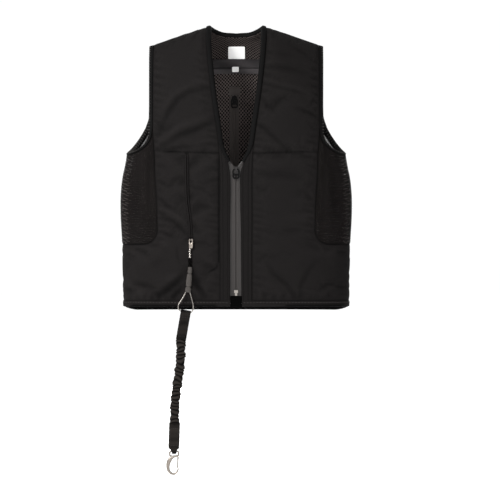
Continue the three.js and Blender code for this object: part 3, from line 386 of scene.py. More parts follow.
def skin(at):
    """Outer surface over q and w. q runs 0 at the centre to 1 at the side and on to 2 round the other
    face, w runs down from the shoulder line, positive in front. A row is a superellipse."""
    q, w = at[..., 0], at[..., 1]
    beyond = np.abs(q) > 1
    q, w = np.where(beyond, np.sign(q) * (2 - np.abs(q)), q), np.where(beyond, -w, w)
    reach = np.abs(w)
    level = level_of(reach)
    turn = q * np.pi / 2
    half, front, back = torso_at(level)
    x = half * np.sign(turn) * np.abs(np.sin(turn)) ** POWER
    arch = np.sin(np.minimum(reach, DOME_ARC) / DOME)
    y = np.where(w < 0, back, -front) * arch * np.maximum(np.cos(turn), 0) ** POWER
    return np.stack([x, y, level + shoulder_drop(x) * slope_share(level)], axis=-1)


def frame_at(at):
    """Surface point, its tangents along q and w by central differences, and its outward normal."""
    dq, dw = np.array([0.004, 0.0]), np.array([0.0, 0.5])
    along_q = (skin(at + dq) - skin(at - dq)) / (2 * dq[0])
    along_w = (skin(at + dw) - skin(at - dw)) / (2 * dw[1])
    return skin(at), along_q, along_w, unit(np.cross(along_w, along_q))


def folds_at(point):
    """Height of the folds at points of the front: over each line a bell across it, fuller in its middle."""
    x, z = point[..., 0], point[..., 2]
    height = np.zeros(x.shape)
    for width, rise, line in FOLDS:
        away, share = from_line(x, z, np.array(line, float))
        height += rise * np.exp(-((away / width) ** 2)) * (0.35 + 0.65 * np.sin(np.pi * share))
    return np.where(point[..., 1] < 0, FOLD_SHARE * height, 0)


def from_line(x, z, line):
    """Distance in front view to a line through points, and the share of its length at the nearest place."""
    run = length_along(line)
    best, share = np.full(np.shape(x), np.inf), np.zeros(np.shape(x))
    for (x0, z0), (x1, z1), start, end in zip(line[:-1], line[1:], run[:-1], run[1:]):
        dx, dz = x1 - x0, z1 - z0
        t = np.clip(((x - x0) * dx + (z - z0) * dz) / (dx * dx + dz * dz), 0, 1)
        away = np.hypot(x - x0 - t * dx, z - z0 - t * dz)
        share = np.where(away < best, mix(start, end, t) / run[-1], share)
        best = np.minimum(best, away)
    return best, share


def wall_point(at, depth):
    """Point at a depth under the surface, with the folds of the fronts, which end before the side."""
    point, _, _, normal = frame_at(at)
    q = np.abs(at[..., 0])
    fold = np.where((q <= 1) & (at[..., 1] > 0), folds_at(point) * fade(1, 0.85, q), 0)
    return point + normal * (fold - depth)[..., None]


def place_on_row(x, w):
    """Place q, w of an x on the row that lies w down from the shoulder line."""
    x, w = np.broadcast_arrays(np.asarray(x, float), np.asarray(w, float))
    half = torso_at(level_of(np.abs(w)))[0]
    across = np.minimum(np.abs(x) / half, 1) ** (ROUNDNESS / 2)
    return np.stack([np.sign(x) * np.arcsin(across) * 2 / np.pi, w], axis=-1)


def place_at(x, z, face=1):
    """Place q, w of a point in front view, on the front or, with face -1, the back. Bisects for its row."""
    x, z = np.broadcast_arrays(np.asarray(x, float), np.asarray(z, float))
    low, high = np.full(x.shape, LOWEST), np.full(x.shape, SHOULDER_TOP)
    for _ in range(HALVINGS):
        middle = (low + high) / 2
        under = middle + shoulder_drop(x) * slope_share(middle) < z
        low, high = np.where(under, middle, low), np.where(under, high, middle)
    return place_on_row(x, face * reach_of(low))


def spline(points, count, dense=60):
    """Evenly spaced points on the centripetal Catmull-Rom curve through others."""
    ends = np.concatenate([2 * points[:1] - points[1:2], points, 2 * points[-1:] - points[-2:-1]])
    p0, p1, p2, p3 = (ends[k:len(ends) - 3 + k, None] for k in range(4))

    def span(a, b):
        return np.maximum(np.linalg.norm(b - a, axis=-1, keepdims=True) ** 0.5, 1e-4)

    d0, d1, d2 = span(p0, p1), span(p1, p2), span(p2, p3)
    m1 = ((p1 - p0) / d0 - (p2 - p0) / (d0 + d1) + (p2 - p1) / d1) * d1
    m2 = ((p2 - p1) / d1 - (p3 - p1) / (d1 + d2) + (p3 - p2) / d2) * d1
    t = np.linspace(0, 1, dense, endpoint=False)[None, :, None]
    curve = ((2 * t**3 - 3 * t**2 + 1) * p1 + (t**3 - 2 * t**2 + t) * m1
             + (3 * t**2 - 2 * t**3) * p2 + (t**3 - t**2) * m2)
    return even(np.concatenate([curve.reshape(-1, points.shape[1]), points[-1:]]), count)


def even(line, count):
    """A polyline cut into equal steps."""
    run = length_along(line)
    return follow(np.linspace(0, run[-1], count + 1), run, line)


def follow(at, run, values):
    """Rows of values read at distances along a line, for any array of distances."""
    return np.stack([np.interp(at, run, values[:, k]) for k in range(values.shape[1])], axis=-1)


def length_along(line):
    """Distance along a polyline at each of its points."""
    return np.concatenate([[0], np.cumsum(np.linalg.norm(np.diff(line, axis=0), axis=-1))])


PLACE_SCALE = np.array([200.0, 1.0])


def resample(at, count):
    """Evenly spaced places on a smooth line through others."""
    return spline(np.asarray(at) * PLACE_SCALE, count) / PLACE_SCALE


def straight(a, b, count):
    """Places in equal steps from one to another."""
    return mix(np.asarray(a), np.asarray(b), np.linspace(0, 1, count + 1)[:, None])


def tangents(points, closed=False):
    """Unit tangents along a line of points."""
    if closed:
        return unit(np.roll(points, -1, axis=0) - np.roll(points, 1, axis=0))
    return unit(np.gradient(points, axis=0))


def inset(path, distance, closed=False):
    """Moves the places of an edge along the surface, square to the edge: the step is solved for q and w
    from its dot products with the two tangents."""
    point, along_q, along_w, normal = frame_at(path)
    step = unit(np.cross(tangents(point, closed), normal)) * np.broadcast_to(distance, len(path))[:, None]
    qq, ww, qw = (np.sum(a * b, -1) for a, b in (
        (along_q, along_q), (along_w, along_w), (along_q, along_w)))
    sq, sw = np.sum(along_q * step, -1), np.sum(along_w * step, -1)
    det = qq * ww - qw * qw
    return path + np.stack([sq * ww - sw * qw, sw * qq - sq * qw], axis=-1) / det[:, None]


def mirror(at):
    """The same places on the other half."""
    return at * np.array([-1.0, 1.0])


def wrap(at):
    """Places of the back written as places past the side of the front."""
    return np.stack([2 - at[..., 0], -at[..., 1]], axis=-1)


def patch(bottom, top, left, right):
    """Grid between four edges. q is a Coons patch; w is ruled from bottom to top and bends towards the
    rows of the two side edges, by a squared cosine of the distance from them."""
    u = np.linspace(0, 1, len(bottom))[None, :]
    v = np.linspace(0, 1, len(left))[:, None]

    def pull(share):
        return np.cos(np.minimum(share / 0.6, 1) * np.pi / 2) ** 2

    across = mix(left[:, None, 0], right[:, None, 0], u)
    ends = mix(bottom[None, :, 0], top[None, :, 0], v)
    corners = mix(mix(bottom[0, 0], bottom[-1, 0], u), mix(top[0, 0], top[-1, 0], u), v)
    bend_left = left[:, None, 1] - mix(bottom[0, 1], top[0, 1], v)
    bend_right = right[:, None, 1] - mix(bottom[-1, 1], top[-1, 1], v)
    down = mix(bottom[None, :, 1], top[None, :, 1], v) + pull(u) * bend_left + pull(1 - u) * bend_right
    return np.stack([across + ends - corners, down], axis=-1)


def around_mesh(face, arm_edge):
    """Edge of a panel round the side mesh, in two runs: from the side seam along the mesh bottom to the
    middle of its rounded corner, then on up the mesh edge and the armhole."""
    seam = np.array([1 - 0.5 * SEAM / 95, face * reach_of(MESH_BOTTOM)])
    angle = np.linspace(0, np.pi / 2, 2 * CORNER_STEPS + 1)
    arc = place_at(MESH_EDGE[0, 0] + MESH_CORNER * (1 - np.sin(angle)),
                   MESH_BOTTOM + MESH_CORNER * (1 - np.cos(angle)), face)
    up = resample(np.concatenate([place_at(MESH_EDGE[:, 0], MESH_EDGE[:, 1], face), arm_edge[:1]]), EDGE_ROWS)
    below = np.concatenate([straight(seam, arc[0], SIDE_COLUMNS)[:-1], arc[:CORNER_STEPS + 1]])
    return below, np.concatenate([arc[CORNER_STEPS:], up[1:], arm_edge[1:]])


def hem_z(q):
    """Height of the top of the hem, lower round the back."""
    return HEM_TOP - TAIL_DROP * fade(1, 1.35, np.abs(q))


def with_blank(band, upper, before, after):
    """One grid of a wide band and a narrower part above it, blank beside that part."""
    rows = np.full((len(upper) - 1, before + upper.shape[1] + after, 2), np.nan)
    rows[:, before:before + upper.shape[1]] = upper[1:]
    return np.concatenate([band, rows])


def vest_edges():
    """The edges and grids of the left half, and the whole back, as places on the surface."""
    made = SimpleNamespace()
    neck_front = np.concatenate([
        place_at(NECK_FRONT[:, 0], NECK_FRONT[:, 1]), place_on_row(NECK_POINT, 0.0)[None]])
    low = resample(neck_front[:4], 30)
    high = resample(neck_front[3:], NECK_ROWS)
    back = resample(np.concatenate([
        place_on_row(NECK_POINT, 0.0)[None], place_on_row(*NECK_BACK.T)]), NECK_COLUMNS // 2)
    half = np.concatenate([low[:-1], high, back[1:]])
    widths = np.full(len(half), NECK_BINDING)
    widths[:len(low)] = np.interp(np.linspace(0, 3, len(low)), range(4), NECK_FRONT[:4, 2])
    made.neck = np.concatenate([half, mirror(half[::-1])[1:]])
    made.neck_widths = np.concatenate([widths, widths[::-1][1:]])
    panel_neck = inset(made.neck, made.neck_widths + SEAM)
    start = len(low) - 1

    def side(z, face=1):
        return np.array([[1.0, face * reach_of(z)]])

    shoulder = place_on_row(SHOULDER_POINT, 0.0)[None]
    front = resample(np.concatenate([shoulder, place_at(*ARM_FRONT.T)]), NECK_ROWS)[::-1]
    front_mesh = resample(np.concatenate([
        side(UNDERARM), place_at(*ARM_FRONT_MESH.T)[::-1], front[:1]]), UNDERARM_STEPS)
    rear = resample(np.concatenate([place_at(*ARM_BACK.T, -1), shoulder]), NECK_ROWS)
    rear_mesh = resample(np.concatenate([
        side(UNDERARM, -1), place_at(*ARM_BACK_MESH.T, -1), rear[:1]]), UNDERARM_STEPS)
    made.arm = np.concatenate([front_mesh[:-1], front, rear[::-1][1:], rear_mesh[::-1][1:-1]])
    order = np.arange(len(made.arm))
    made.arm_widths = np.where(order >= UNDERARM_STEPS, ARM_BINDING, mix(
        MESH_BINDING, ARM_BINDING, fade(0.43 * UNDERARM_STEPS, UNDERARM_STEPS, order)))
    made.arm_widths[-6:] = np.linspace(ARM_BINDING, MESH_BINDING, 6)
    panel_arm = inset(made.arm, -made.arm_widths - SEAM, True)

    front_arm = panel_arm[UNDERARM_STEPS:UNDERARM_STEPS + NECK_ROWS + 1]
    back_arm = panel_arm[UNDERARM_STEPS + NECK_ROWS:UNDERARM_STEPS + 2 * NECK_ROWS + 1][::-1]
    top_front = panel_arm[:UNDERARM_STEPS + 1][::-1]
    top_back = np.concatenate([panel_arm[:1], panel_arm[UNDERARM_STEPS + 2 * NECK_ROWS:][::-1]])

    below, outer = around_mesh(1, front_arm)
    inner = np.concatenate([
        resample(np.concatenate([place_at(PLACKET_OUTER, np.array([HEM_TOP, -420.0, -290.0])),
                                 panel_neck[start:start + 1]]), PLACKET_ROWS),
        panel_neck[start + 1:start + 1 + NECK_ROWS]])
    band_top = np.concatenate([straight(inner[BAND_ROWS], outer[0], FRONT_COLUMNS), below[:-1][::-1]])
    hem = np.stack([band_top[:, 0], np.full(len(band_top), reach_of(HEM_TOP))], axis=-1)
    hem[0] = inner[0]
    top = straight(inner[-1], outer[-1], FRONT_COLUMNS)
    top[:, 1] = 0.5 * SEAM
    inner[-1], outer[-1] = top[0], top[-1]
    band = patch(hem, band_top, inner[:BAND_ROWS + 1], straight(hem[-1], band_top[-1], BAND_ROWS))
    upper = patch(band_top[:FRONT_COLUMNS + 1], top, inner[BAND_ROWS:], outer)
    blank = CORNER_STEPS + SIDE_COLUMNS
    made.front = with_blank(band, upper, 0, blank)
    made.placket_outer = inset(inner[:PLACKET_ROWS + 1], -SEAM)
    made.placket_top = panel_neck[:start + 1]

    back_below, back_outer = around_mesh(-1, back_arm)
    back_neck = slice(start + NECK_ROWS, start + NECK_ROWS + NECK_COLUMNS + 1)
    neck_line = panel_neck[back_neck]
    yoke = straight(neck_line[0], back_outer[-1], YOKE_COLUMNS)
    yoke[:, 1] = -0.5 * SEAM
    back_top = np.concatenate([mirror(yoke)[::-1], neck_line[1:-1][::-1], yoke])
    back_outer[-1] = back_top[-1]
    across = straight(mirror(back_outer[0]), back_outer[0], len(back_top) - 1)
    back_band_top = np.concatenate([mirror(back_below[:-1]), across, back_below[:-1][::-1]])
    back_hem = np.stack([back_band_top[:, 0], -reach_of(hem_z(2 - np.abs(back_band_top[:, 0])))], axis=-1)
    back_side = straight(back_hem[-1], back_band_top[-1], BAND_ROWS)
    back_band = patch(back_hem, back_band_top, mirror(back_side), back_side)
    back_upper = patch(across, back_top, mirror(back_outer), back_outer)
    made.back = with_blank(back_band, back_upper, blank, blank)
    under = inset(made.neck, 0.4 * made.neck_widths)[back_neck][::-1]
    made.neck_cover = np.full((5, made.back.shape[1], 2), np.nan)
    middle = slice(blank + YOKE_COLUMNS, blank + YOKE_COLUMNS + NECK_COLUMNS + 1)
    below_neck = back_top[None, YOKE_COLUMNS:YOKE_COLUMNS + NECK_COLUMNS + 1]
    made.neck_cover[:, middle] = mix(below_neck, under[None], np.linspace(0, 1, 5)[:, None, None])

    rise = 2 * CORNER_STEPS + EDGE_ROWS + 1
    side_front = inset(np.concatenate([below[SIDE_COLUMNS:-1], outer])[:rise], SEAM)
    side_back = wrap(inset(np.concatenate([back_below[SIDE_COLUMNS:-1], back_outer])[:rise], -SEAM))
    mesh_top = np.concatenate([top_front, wrap(top_back[1:])])
    mesh_top[0], mesh_top[-1] = side_front[-1], side_back[-1]
    mesh_bottom = straight(side_front[0], side_back[0], len(mesh_top) - 1)
    made.mesh = patch(mesh_bottom, mesh_top, side_front, side_back)
    return made


EDGES = vest_edges()


# Meshes from arrays

def cells(number):
    """The corners of each cell of a grid of point numbers, in order round it."""
    return np.stack([number[:-1, :-1], number[:-1, 1:], number[1:, 1:], number[1:, :-1]], -1)


def slab(outer, inner, closed=False):
    """Closed solid between two grids of points: a quad for each full cell on both grids, and a quad down
    each edge that only one full cell has. Points that are not a number are left out."""
    rows, columns = outer.shape[:2]
    number = np.arange(rows * columns).reshape(rows, columns)
    if closed:
        outer, inner = (np.concatenate([g, g[:1]]) for g in (outer, inner))
        number = np.concatenate([number, number[:1]])
    good = np.isfinite(outer[..., 0])
    full = good[:-1, :-1] & good[:-1, 1:] & good[1:, :-1] & good[1:, 1:]
    corners = cells(number)
    a, b, c, d = np.moveaxis(corners, -1, 0)
    ring = np.pad(full, 1)
    if closed:
        ring[0, 1:-1], ring[-1, 1:-1] = full[-1], full[0]
    total = rows * columns
    faces = [corners[full], np.stack([a, d, c, b], -1)[full] + total]
    for (j, i), start, end in (((0, 1), a, b), ((1, 2), b, c), ((2, 1), c, d), ((1, 0), d, a)):
        beside = ring[j:j + full.shape[0], i:i + full.shape[1]]
        edge = full & ~beside
        faces.append(np.stack([start[edge], start[edge] + total, end[edge] + total, end[edge]], -1))
    points = np.concatenate([grid[:rows].reshape(-1, 3) for grid in (outer, inner)])
    return points, np.concatenate(faces)


def tube(rings, closed=False):
    """Closed solid through rings of points, with a fan to the middle of each end."""
    count, sides = rings.shape[:2]
    number = np.arange(count * sides).reshape(count, sides)
    if closed:
        number = np.concatenate([number, number[:1]])
    after = np.roll(number, -1, axis=1)
    quads = np.stack([number[:-1], after[:-1], after[1:], number[1:]], -1).reshape(-1, 4)
    points = rings.reshape(-1, 3)
    if closed:
        return points, quads
    ends = np.stack([rings[0].mean(0), rings[-1].mean(0)])
    middle = len(points)
    caps = np.concatenate([
        np.stack([after[0], number[0], np.full(sides, middle), np.full(sides, middle)], -1),
        np.stack([number[-1], after[-1], np.full(sides, middle + 1), np.full(sides, middle + 1)], -1)])
    return np.concatenate([points, ends]), np.concatenate([quads, caps])


def merged(*solids):
    """Several solids as one set of points and faces."""
    points, faces, base = [], [], 0
    for solid_points, solid_faces in solids:
        points.append(solid_points)
        faces.append(solid_faces + base)
        base += len(solid_points)
    return np.concatenate(points), np.concatenate(faces)


def facing_out(points, faces):
    """The faces turned so that the volume they enclose is positive."""
    a, b, c, d = (points[faces[:, k]] for k in range(4))
    volume = np.sum(a * np.cross(b, c)) + np.sum(a * np.cross(c, d))
    return faces if volume > 0 else faces[:, ::-1]


def build(name, solid, finish, uv=None, crease=50.0, relief=None):
    """A piece of the vest from points and quads; a quad that repeats its last corner is a triangle. Its
    attribute of painted shading is half, painted lighter on the folds' ridges and darker in their valleys,
    and moved by its relief: painted shade where that sinks, painted highlight where it rises."""
    points, faces = solid
    height = 0.7 * folds_at(points) + (0 if relief is None else relief)
    tone = np.clip(0.5 + SHADING_PER_MM * height, 0, 1)
    used = np.zeros(len(points), bool)
    used[faces] = True
    number = np.cumsum(used) - 1
    faces, points, tone = number[faces], points[used], tone[used]
    is_triangle = (faces[:, 2] == faces[:, 3]) | (faces[:, 0] == faces[:, 1])
    turned = facing_out(points, faces)
    corners = np.ones(turned.shape, bool)
    corners[:, 1:] = turned[:, 1:] != turned[:, :-1]
    corners[is_triangle, 3] &= turned[is_triangle, 3] != turned[is_triangle, 0]
    sizes = corners.sum(1)
    loops = turned[corners]
    mesh = bpy.data.meshes.new(name)
    mesh.vertices.add(len(points))
    mesh.vertices.foreach_set("co", (points * MM).astype(np.float32).ravel())
    mesh.loops.add(len(loops))
    mesh.loops.foreach_set("vertex_index", loops.astype(np.int32))
    mesh.polygons.add(len(sizes))
    mesh.polygons.foreach_set("loop_start", (np.cumsum(sizes) - sizes).astype(np.int32))
    mesh.polygons.foreach_set("use_smooth", np.ones(len(sizes), bool))
    mesh.update(calc_edges=True)
    if uv is not None:
        layer = mesh.uv_layers.new(name=UV_NAME)
        layer.data.foreach_set("uv", (uv[used] * MM)[loops].astype(np.float32).ravel())
    mesh.attributes.new(SHADING_NAME, "FLOAT", "POINT").data.foreach_set("value", tone.astype(np.float32))
    mesh.set_sharp_from_angle(angle=np.radians(crease))
    mesh.materials.append(finish)
    piece = bpy.data.objects.new(name, mesh)
    bpy.context.scene.collection.objects.link(piece)
    return piece


def cloth_uv(at):
    """Flat coordinates of places: length of surface from the centre line, and distance from the shoulder."""
    share = np.linspace(0, 1, UV_STEPS)[:, None]
    flat = at.reshape(-1, 2)
    q = np.nan_to_num(flat[:, 0])
    w = np.nan_to_num(flat[:, 1], nan=BLANK_PLACE)
    rays = skin(np.stack([share * q, np.broadcast_to(w, (UV_STEPS, len(w)))], axis=-1))
    girth = np.linalg.norm(np.diff(rays, axis=0), axis=-1).sum(0) * np.sign(q)
    return np.stack([girth, w], axis=-1)


def nearest(points, line):
    """Distance from each point to the nearest point of a line."""
    found = np.empty(len(points))
    for chunk in np.array_split(np.arange(len(points)), max(1, len(points) // 4000)):
        gap = points[chunk, None] - line[None]
        found[chunk] = np.sqrt(np.min(np.sum(gap * gap, axis=-1), axis=1))
    return found


def border_of(grid):
    """Mask of the grid points that lie on its outline."""
    good = np.isfinite(grid[..., 0])
    ring = np.pad(good, 1)
    inside = good.copy()
    for j in (0, 1, 2):
        for i in (0, 1, 2):
            inside &= ring[j:j + good.shape[0], i:i + good.shape[1]]
    return good & ~inside


def from_outline(grid, face):
    """Distance of each point of a face to the outline of its grid."""
    return nearest(face.reshape(-1, 3), face[border_of(grid)]).reshape(face.shape[:2])


def faces_at(grid, *depths):
    """Points at each of some depths over a grid of places; a blank place stays blank."""
    faces = [wall_point(np.nan_to_num(grid, nan=BLANK_PLACE), depth) for depth in depths]
    for face in faces:
        face[np.isnan(grid[..., 0])] = np.nan
    return faces


def refined(grid, rows, columns):
    """A grid of places cut finer, linearly."""
    def cut(values, count):
        where = np.linspace(0, len(values) - 1, count + 1)
        low = np.minimum(where.astype(int), len(values) - 2)
        share = (where - low).reshape(-1, *([1] * (values.ndim - 1)))
        return mix(values[low], values[low + 1], share)
    return np.swapaxes(cut(np.swapaxes(cut(grid, rows), 0, 1), columns), 0, 1)


def path_sides(centres, closed=False):
    """Width and thickness directions along a path that keeps its flat side to the front."""
    along = tangents(centres, closed)
    across = unit(np.cross(np.broadcast_to((0.0, 1.0, 0.0), centres.shape), along))
    return across, unit(np.cross(along, across))


def oval(count, power):
    """Cosine and sine at equal steps of the angle, each raised to a power with its sign kept."""
    angle = np.linspace(0, 2 * np.pi, count, endpoint=False)
    return (np.sign(f) * np.abs(f) ** power for f in (np.cos(angle), np.sin(angle)))


def swept(centres, wide, thick, sides=16, squareness=2.0, closed=False):
    """Rings of a tube along a path whose section is a superellipse of the given half-sizes."""
    across, through = path_sides(centres, closed)
    c, s = oval(sides, 2 / squareness)
    wide, thick = (np.broadcast_to(half, len(centres))[:, None, None] for half in (wide, thick))
    return (centres[:, None] + across[:, None] * wide * c[None, :, None]
            + through[:, None] * thick * s[None, :, None])


def ring_uv(rings):
    """Flat coordinates of a tube: length round the section and length along the path, ends included."""
    along = length_along(rings.mean(1))
    around = np.linalg.norm(np.roll(rings, -1, axis=1) - rings, axis=-1).mean(0)
    u = np.concatenate([[0], np.cumsum(around)[:-1]])
    uv = np.stack(np.broadcast_arrays(u[None, :], along[:, None]), axis=-1).reshape(-1, 2)
    return np.concatenate([uv, [[0, 0], [0, along[-1]]]])


def with_ends(values):
    """Values at the rings of a tube, and nothing at the middles of its two ends."""
    return np.append(values.ravel(), [0, 0])


# Finishes

def node_group(name, values, results):
    """An empty shader group with a vector, named values and named results, and its two end nodes."""
    group = bpy.data.node_groups.new(name, "ShaderNodeTree")
    socket = group.interface.new_socket
    socket("Vector", in_out="INPUT", socket_type="NodeSocketVector")
    for label, value in values.items():
        socket(label, in_out="INPUT", socket_type="NodeSocketFloat").default_value = value
    for label in results:
        socket(label, in_out="OUTPUT", socket_type="NodeSocketFloat")
    return group, group.nodes.new("NodeGroupInput"), group.nodes.new("NodeGroupOutput")


def calc(tree, operation, first, second=None, clamp=False):
    """A math node on sockets or numbers; its result socket."""
    node = tree.nodes.new("ShaderNodeMath")
    node.operation = operation
    node.use_clamp = clamp
    for socket, value in zip(node.inputs, (first, second)):
        if value is None:
            continue
        if isinstance(value, (int, float)):
            socket.default_value = value
        else:
            tree.links.new(value, socket)
    return node.outputs[0]


def between(tree, value, low, high):
    """Maps a value from 0 to 1 onto low to high."""
    return calc(tree, "ADD", calc(tree, "MULTIPLY", value, high - low), low)


def blend(tree, first, second, share):
    """Two values added, the second at a share and the first at the rest."""
    return calc(tree, "ADD", calc(tree, "MULTIPLY", first, 1 - share), calc(tree, "MULTIPLY", second, share))


def split(tree, vector):
    """The x and y of a vector."""
    node = tree.nodes.new("ShaderNodeSeparateXYZ")
    tree.links.new(vector, node.inputs[0])
    return node.outputs[0], node.outputs[1]


@cache
def weave_group():
    """Plain weave: height is one plus the product of two sines across and along, halved."""
    group, start, end = node_group("Weave", {"Threads": 900.0}, ["Height"])
    x, y = split(group, start.outputs["Vector"])
    turns = calc(group, "MULTIPLY", start.outputs["Threads"], np.pi)
    wave = calc(group, "MULTIPLY", calc(group, "SINE", calc(group, "MULTIPLY", x, turns)),
                calc(group, "SINE", calc(group, "MULTIPLY", y, turns)))
    group.links.new(between(group, wave, 0.5, 1.0), end.inputs["Height"])
    return group


@cache
def mottle_group():
    """Uneven dye and handling: a broad noise and a fine one, added."""
    group, start, end = node_group("Mottle", {"Scale": 9.0}, ["Value"])
    broad, fine = group.nodes.new("ShaderNodeTexNoise"), group.nodes.new("ShaderNodeTexNoise")
    for node, detail in ((broad, 3.0), (fine, 2.0)):
        group.links.new(start.outputs["Vector"], node.inputs["Vector"])
        node.inputs["Detail"].default_value = detail
    group.links.new(start.outputs["Scale"], broad.inputs["Scale"])
    group.links.new(calc(group, "MULTIPLY", start.outputs["Scale"], 90.0), fine.inputs["Scale"])
    group.links.new(blend(group, broad.outputs[0], fine.outputs[0], 0.4), end.inputs["Value"])
    return group


@cache
def lattice_group():
    """Slanted rows of round holes: the product of a cosine across and one along, cut at a level."""
    group, start, end = node_group("Hole lattice", {"Pitch": 0.005, "Stretch": 1.0}, ["Hole", "Height"])
    x, y = split(group, start.outputs["Vector"])
    turns = calc(group, "DIVIDE", 2 * np.pi, start.outputs["Pitch"])
    rise = calc(group, "DIVIDE", calc(group, "MULTIPLY", y, turns), start.outputs["Stretch"])
    dots = calc(group, "MULTIPLY", calc(group, "COSINE", calc(group, "MULTIPLY", x, turns)),
                calc(group, "COSINE", rise))
    hole = calc(group, "MULTIPLY", calc(group, "ADD", dots, 0.04), 5.0, clamp=True)
    group.links.new(hole, end.inputs["Hole"])
    group.links.new(calc(group, "SUBTRACT", 1.0, hole), end.inputs["Height"])
    return group


def placed(tree, group, vector, **values):
    """A shared group placed in a material with its own values."""
    node = tree.nodes.new("ShaderNodeGroup")
    node.node_tree = group
    tree.links.new(vector, node.inputs["Vector"])
    for key, value in values.items():
        node.inputs[key].default_value = value
    return node


def new_finish(name, roughness, metallic=0.0, **sockets):
    """A material with a Principled shader and constants on its own sockets."""
    made = bpy.data.materials.new(name)
    made.use_nodes = True
    tree = made.node_tree
    shader = next(n for n in tree.nodes if n.type == "BSDF_PRINCIPLED")
    shader.inputs["Roughness"].default_value = roughness
    shader.inputs["Metallic"].default_value = metallic
    for label, value in sockets.items():
        shader.inputs[label].default_value = value
    return made, tree, shader


def object_vector(tree):
    """Object coordinates."""
    return tree.nodes.new("ShaderNodeTexCoord").outputs["Object"]


def uv_vector(tree):
    """The piece's own flat coordinates, in metres."""
    node = tree.nodes.new("ShaderNodeUVMap")
    node.uv_map = UV_NAME
    return node.outputs[0]


def shading_value(tree):
    """The painted shading that folds and seams give a piece: shade in their hollows, highlight on their
    ridges.
    """
    node = tree.nodes.new("ShaderNodeAttribute")
    node.attribute_name = SHADING_NAME
    return node.outputs["Fac"]


def shade(tree, shader, colour, value, low, high):
    """Base colour that runs between two shares of a colour as a value runs from 0 to 1."""
    node = tree.nodes.new("ShaderNodeMix")
    node.data_type = "RGBA"
    node.inputs[6].default_value = (*(min(1.0, c * low) for c in colour), 1)
    node.inputs[7].default_value = (*(min(1.0, c * high) for c in colour), 1)
    tree.links.new(value, node.inputs[0])
    tree.links.new(node.outputs[2], shader.inputs["Base Color"])


def bump(tree, shader, height, distance, strength=1.0):
    """Relief from a height, on the shader's normal."""
    node = tree.nodes.new("ShaderNodeBump")
    node.inputs["Distance"].default_value = distance
    node.inputs["Strength"].default_value = strength
    tree.links.new(height, node.inputs["Height"])
    tree.links.new(node.outputs[0], shader.inputs["Normal"])


def weave_and_mottle(tree, threads, scale):
    """Heights of a weave along the flat coordinates and values of a mottle."""
    weave = placed(tree, weave_group(), uv_vector(tree), Threads=threads)
    mottle = placed(tree, mottle_group(), object_vector(tree), Scale=scale)
    return weave.outputs[0], mottle.outputs[0]


def woven_finish(name, colour, gloss, texture, share, swing, shades, rough, relief, with_shading=True):
    """Woven cloth: weave and mottle, blended by the mottle's share and mapped onto a swing, times the painted
    shading of the folds and seams, run between two shades of a colour. The mottle also moves the roughness."""
    made, tree, shader = new_finish(name, sum(rough) / 2, **{"Specular IOR Level": gloss})
    weave, mottle = weave_and_mottle(tree, *texture)
    value = between(tree, blend(tree, weave, mottle, share), *swing)
    if with_shading:
        value = calc(tree, "MULTIPLY", value, shading_value(tree), clamp=True)
    shade(tree, shader, colour, value, *shades)
    tree.links.new(between(tree, mottle, *rough), shader.inputs["Roughness"])
    bump(tree, shader, weave, *relief)
    return made


def mesh_finish(colour):
    """Knit of the side mesh: weave times mottle times the painted shading, lifted to painted specks of light
    where that shading is near one, with small holes that open as the shading rises."""
    made, tree, shader = new_finish("side_mesh", 0.5, **{"Specular IOR Level": 0.04})
    weave, mottle = weave_and_mottle(tree, 720.0, 16.0)
    value = calc(tree, "MULTIPLY", weave, between(tree, mottle, 0.6, 1.4))
    tone = shading_value(tree)
    # Painted specks of light: the colour is lifted many times where the painted shading passes 0.88
    lit_specks = calc(tree, "MULTIPLY", calc(tree, "SUBTRACT", tone, 0.88), 8.0, clamp=True)
    with_shading = calc(tree, "MULTIPLY", calc(tree, "MULTIPLY", value, tone), between(tree, lit_specks, 0.14, 1.0))
    shade(tree, shader, colour, with_shading, 0.37, 22.0)
    holes = placed(tree, lattice_group(), uv_vector(tree), Pitch=0.0021)
    thin = calc(tree, "SUBTRACT", calc(tree, "MULTIPLY", tone, 2.2), 1.05, clamp=True)
    open_share = calc(tree, "MULTIPLY", holes.outputs["Hole"], thin)
    tree.links.new(between(tree, open_share, 1.0, 0.0), shader.inputs["Alpha"])
    tree.links.new(between(tree, weave, 0.95, 0.75), shader.inputs["Roughness"])
    bump(tree, shader, weave, 0.0004, 0.7)
    return made


def lining_finish(colour):
    """Spacer mesh: dark holes in slanted rows in a lighter knit."""
    made, tree, shader = new_finish("lining", 0.85, **{"Specular IOR Level": 0.03})
    vector = uv_vector(tree)
    holes = placed(tree, lattice_group(), vector, Pitch=0.0068, Stretch=1.2)
    mottle = placed(tree, mottle_group(), vector, Scale=12.0)
    ground = calc(tree, "MULTIPLY", holes.outputs["Height"], between(tree, mottle.outputs[0], 1.4, 2.6))
    shade(tree, shader, colour, calc(tree, "MULTIPLY", ground, shading_value(tree)), 0.0, 1.5)
    tree.links.new(between(tree, mottle.outputs[0], 0.75, 0.95), shader.inputs["Roughness"])
    bump(tree, shader, holes.outputs["Height"], 0.0009, 0.8)
    return made


def satin_finish(name, colour, roughness, threads, spread):
    """Smooth woven tape, thread or label, with painted shade in its creases."""
    return woven_finish(name, colour, 0.08, (threads, 30.0), 1.0, (0.6, 1.4), (1 - spread, 1 + spread),
                        (roughness - 0.1, roughness + 0.1), (0.0001, 0.5))


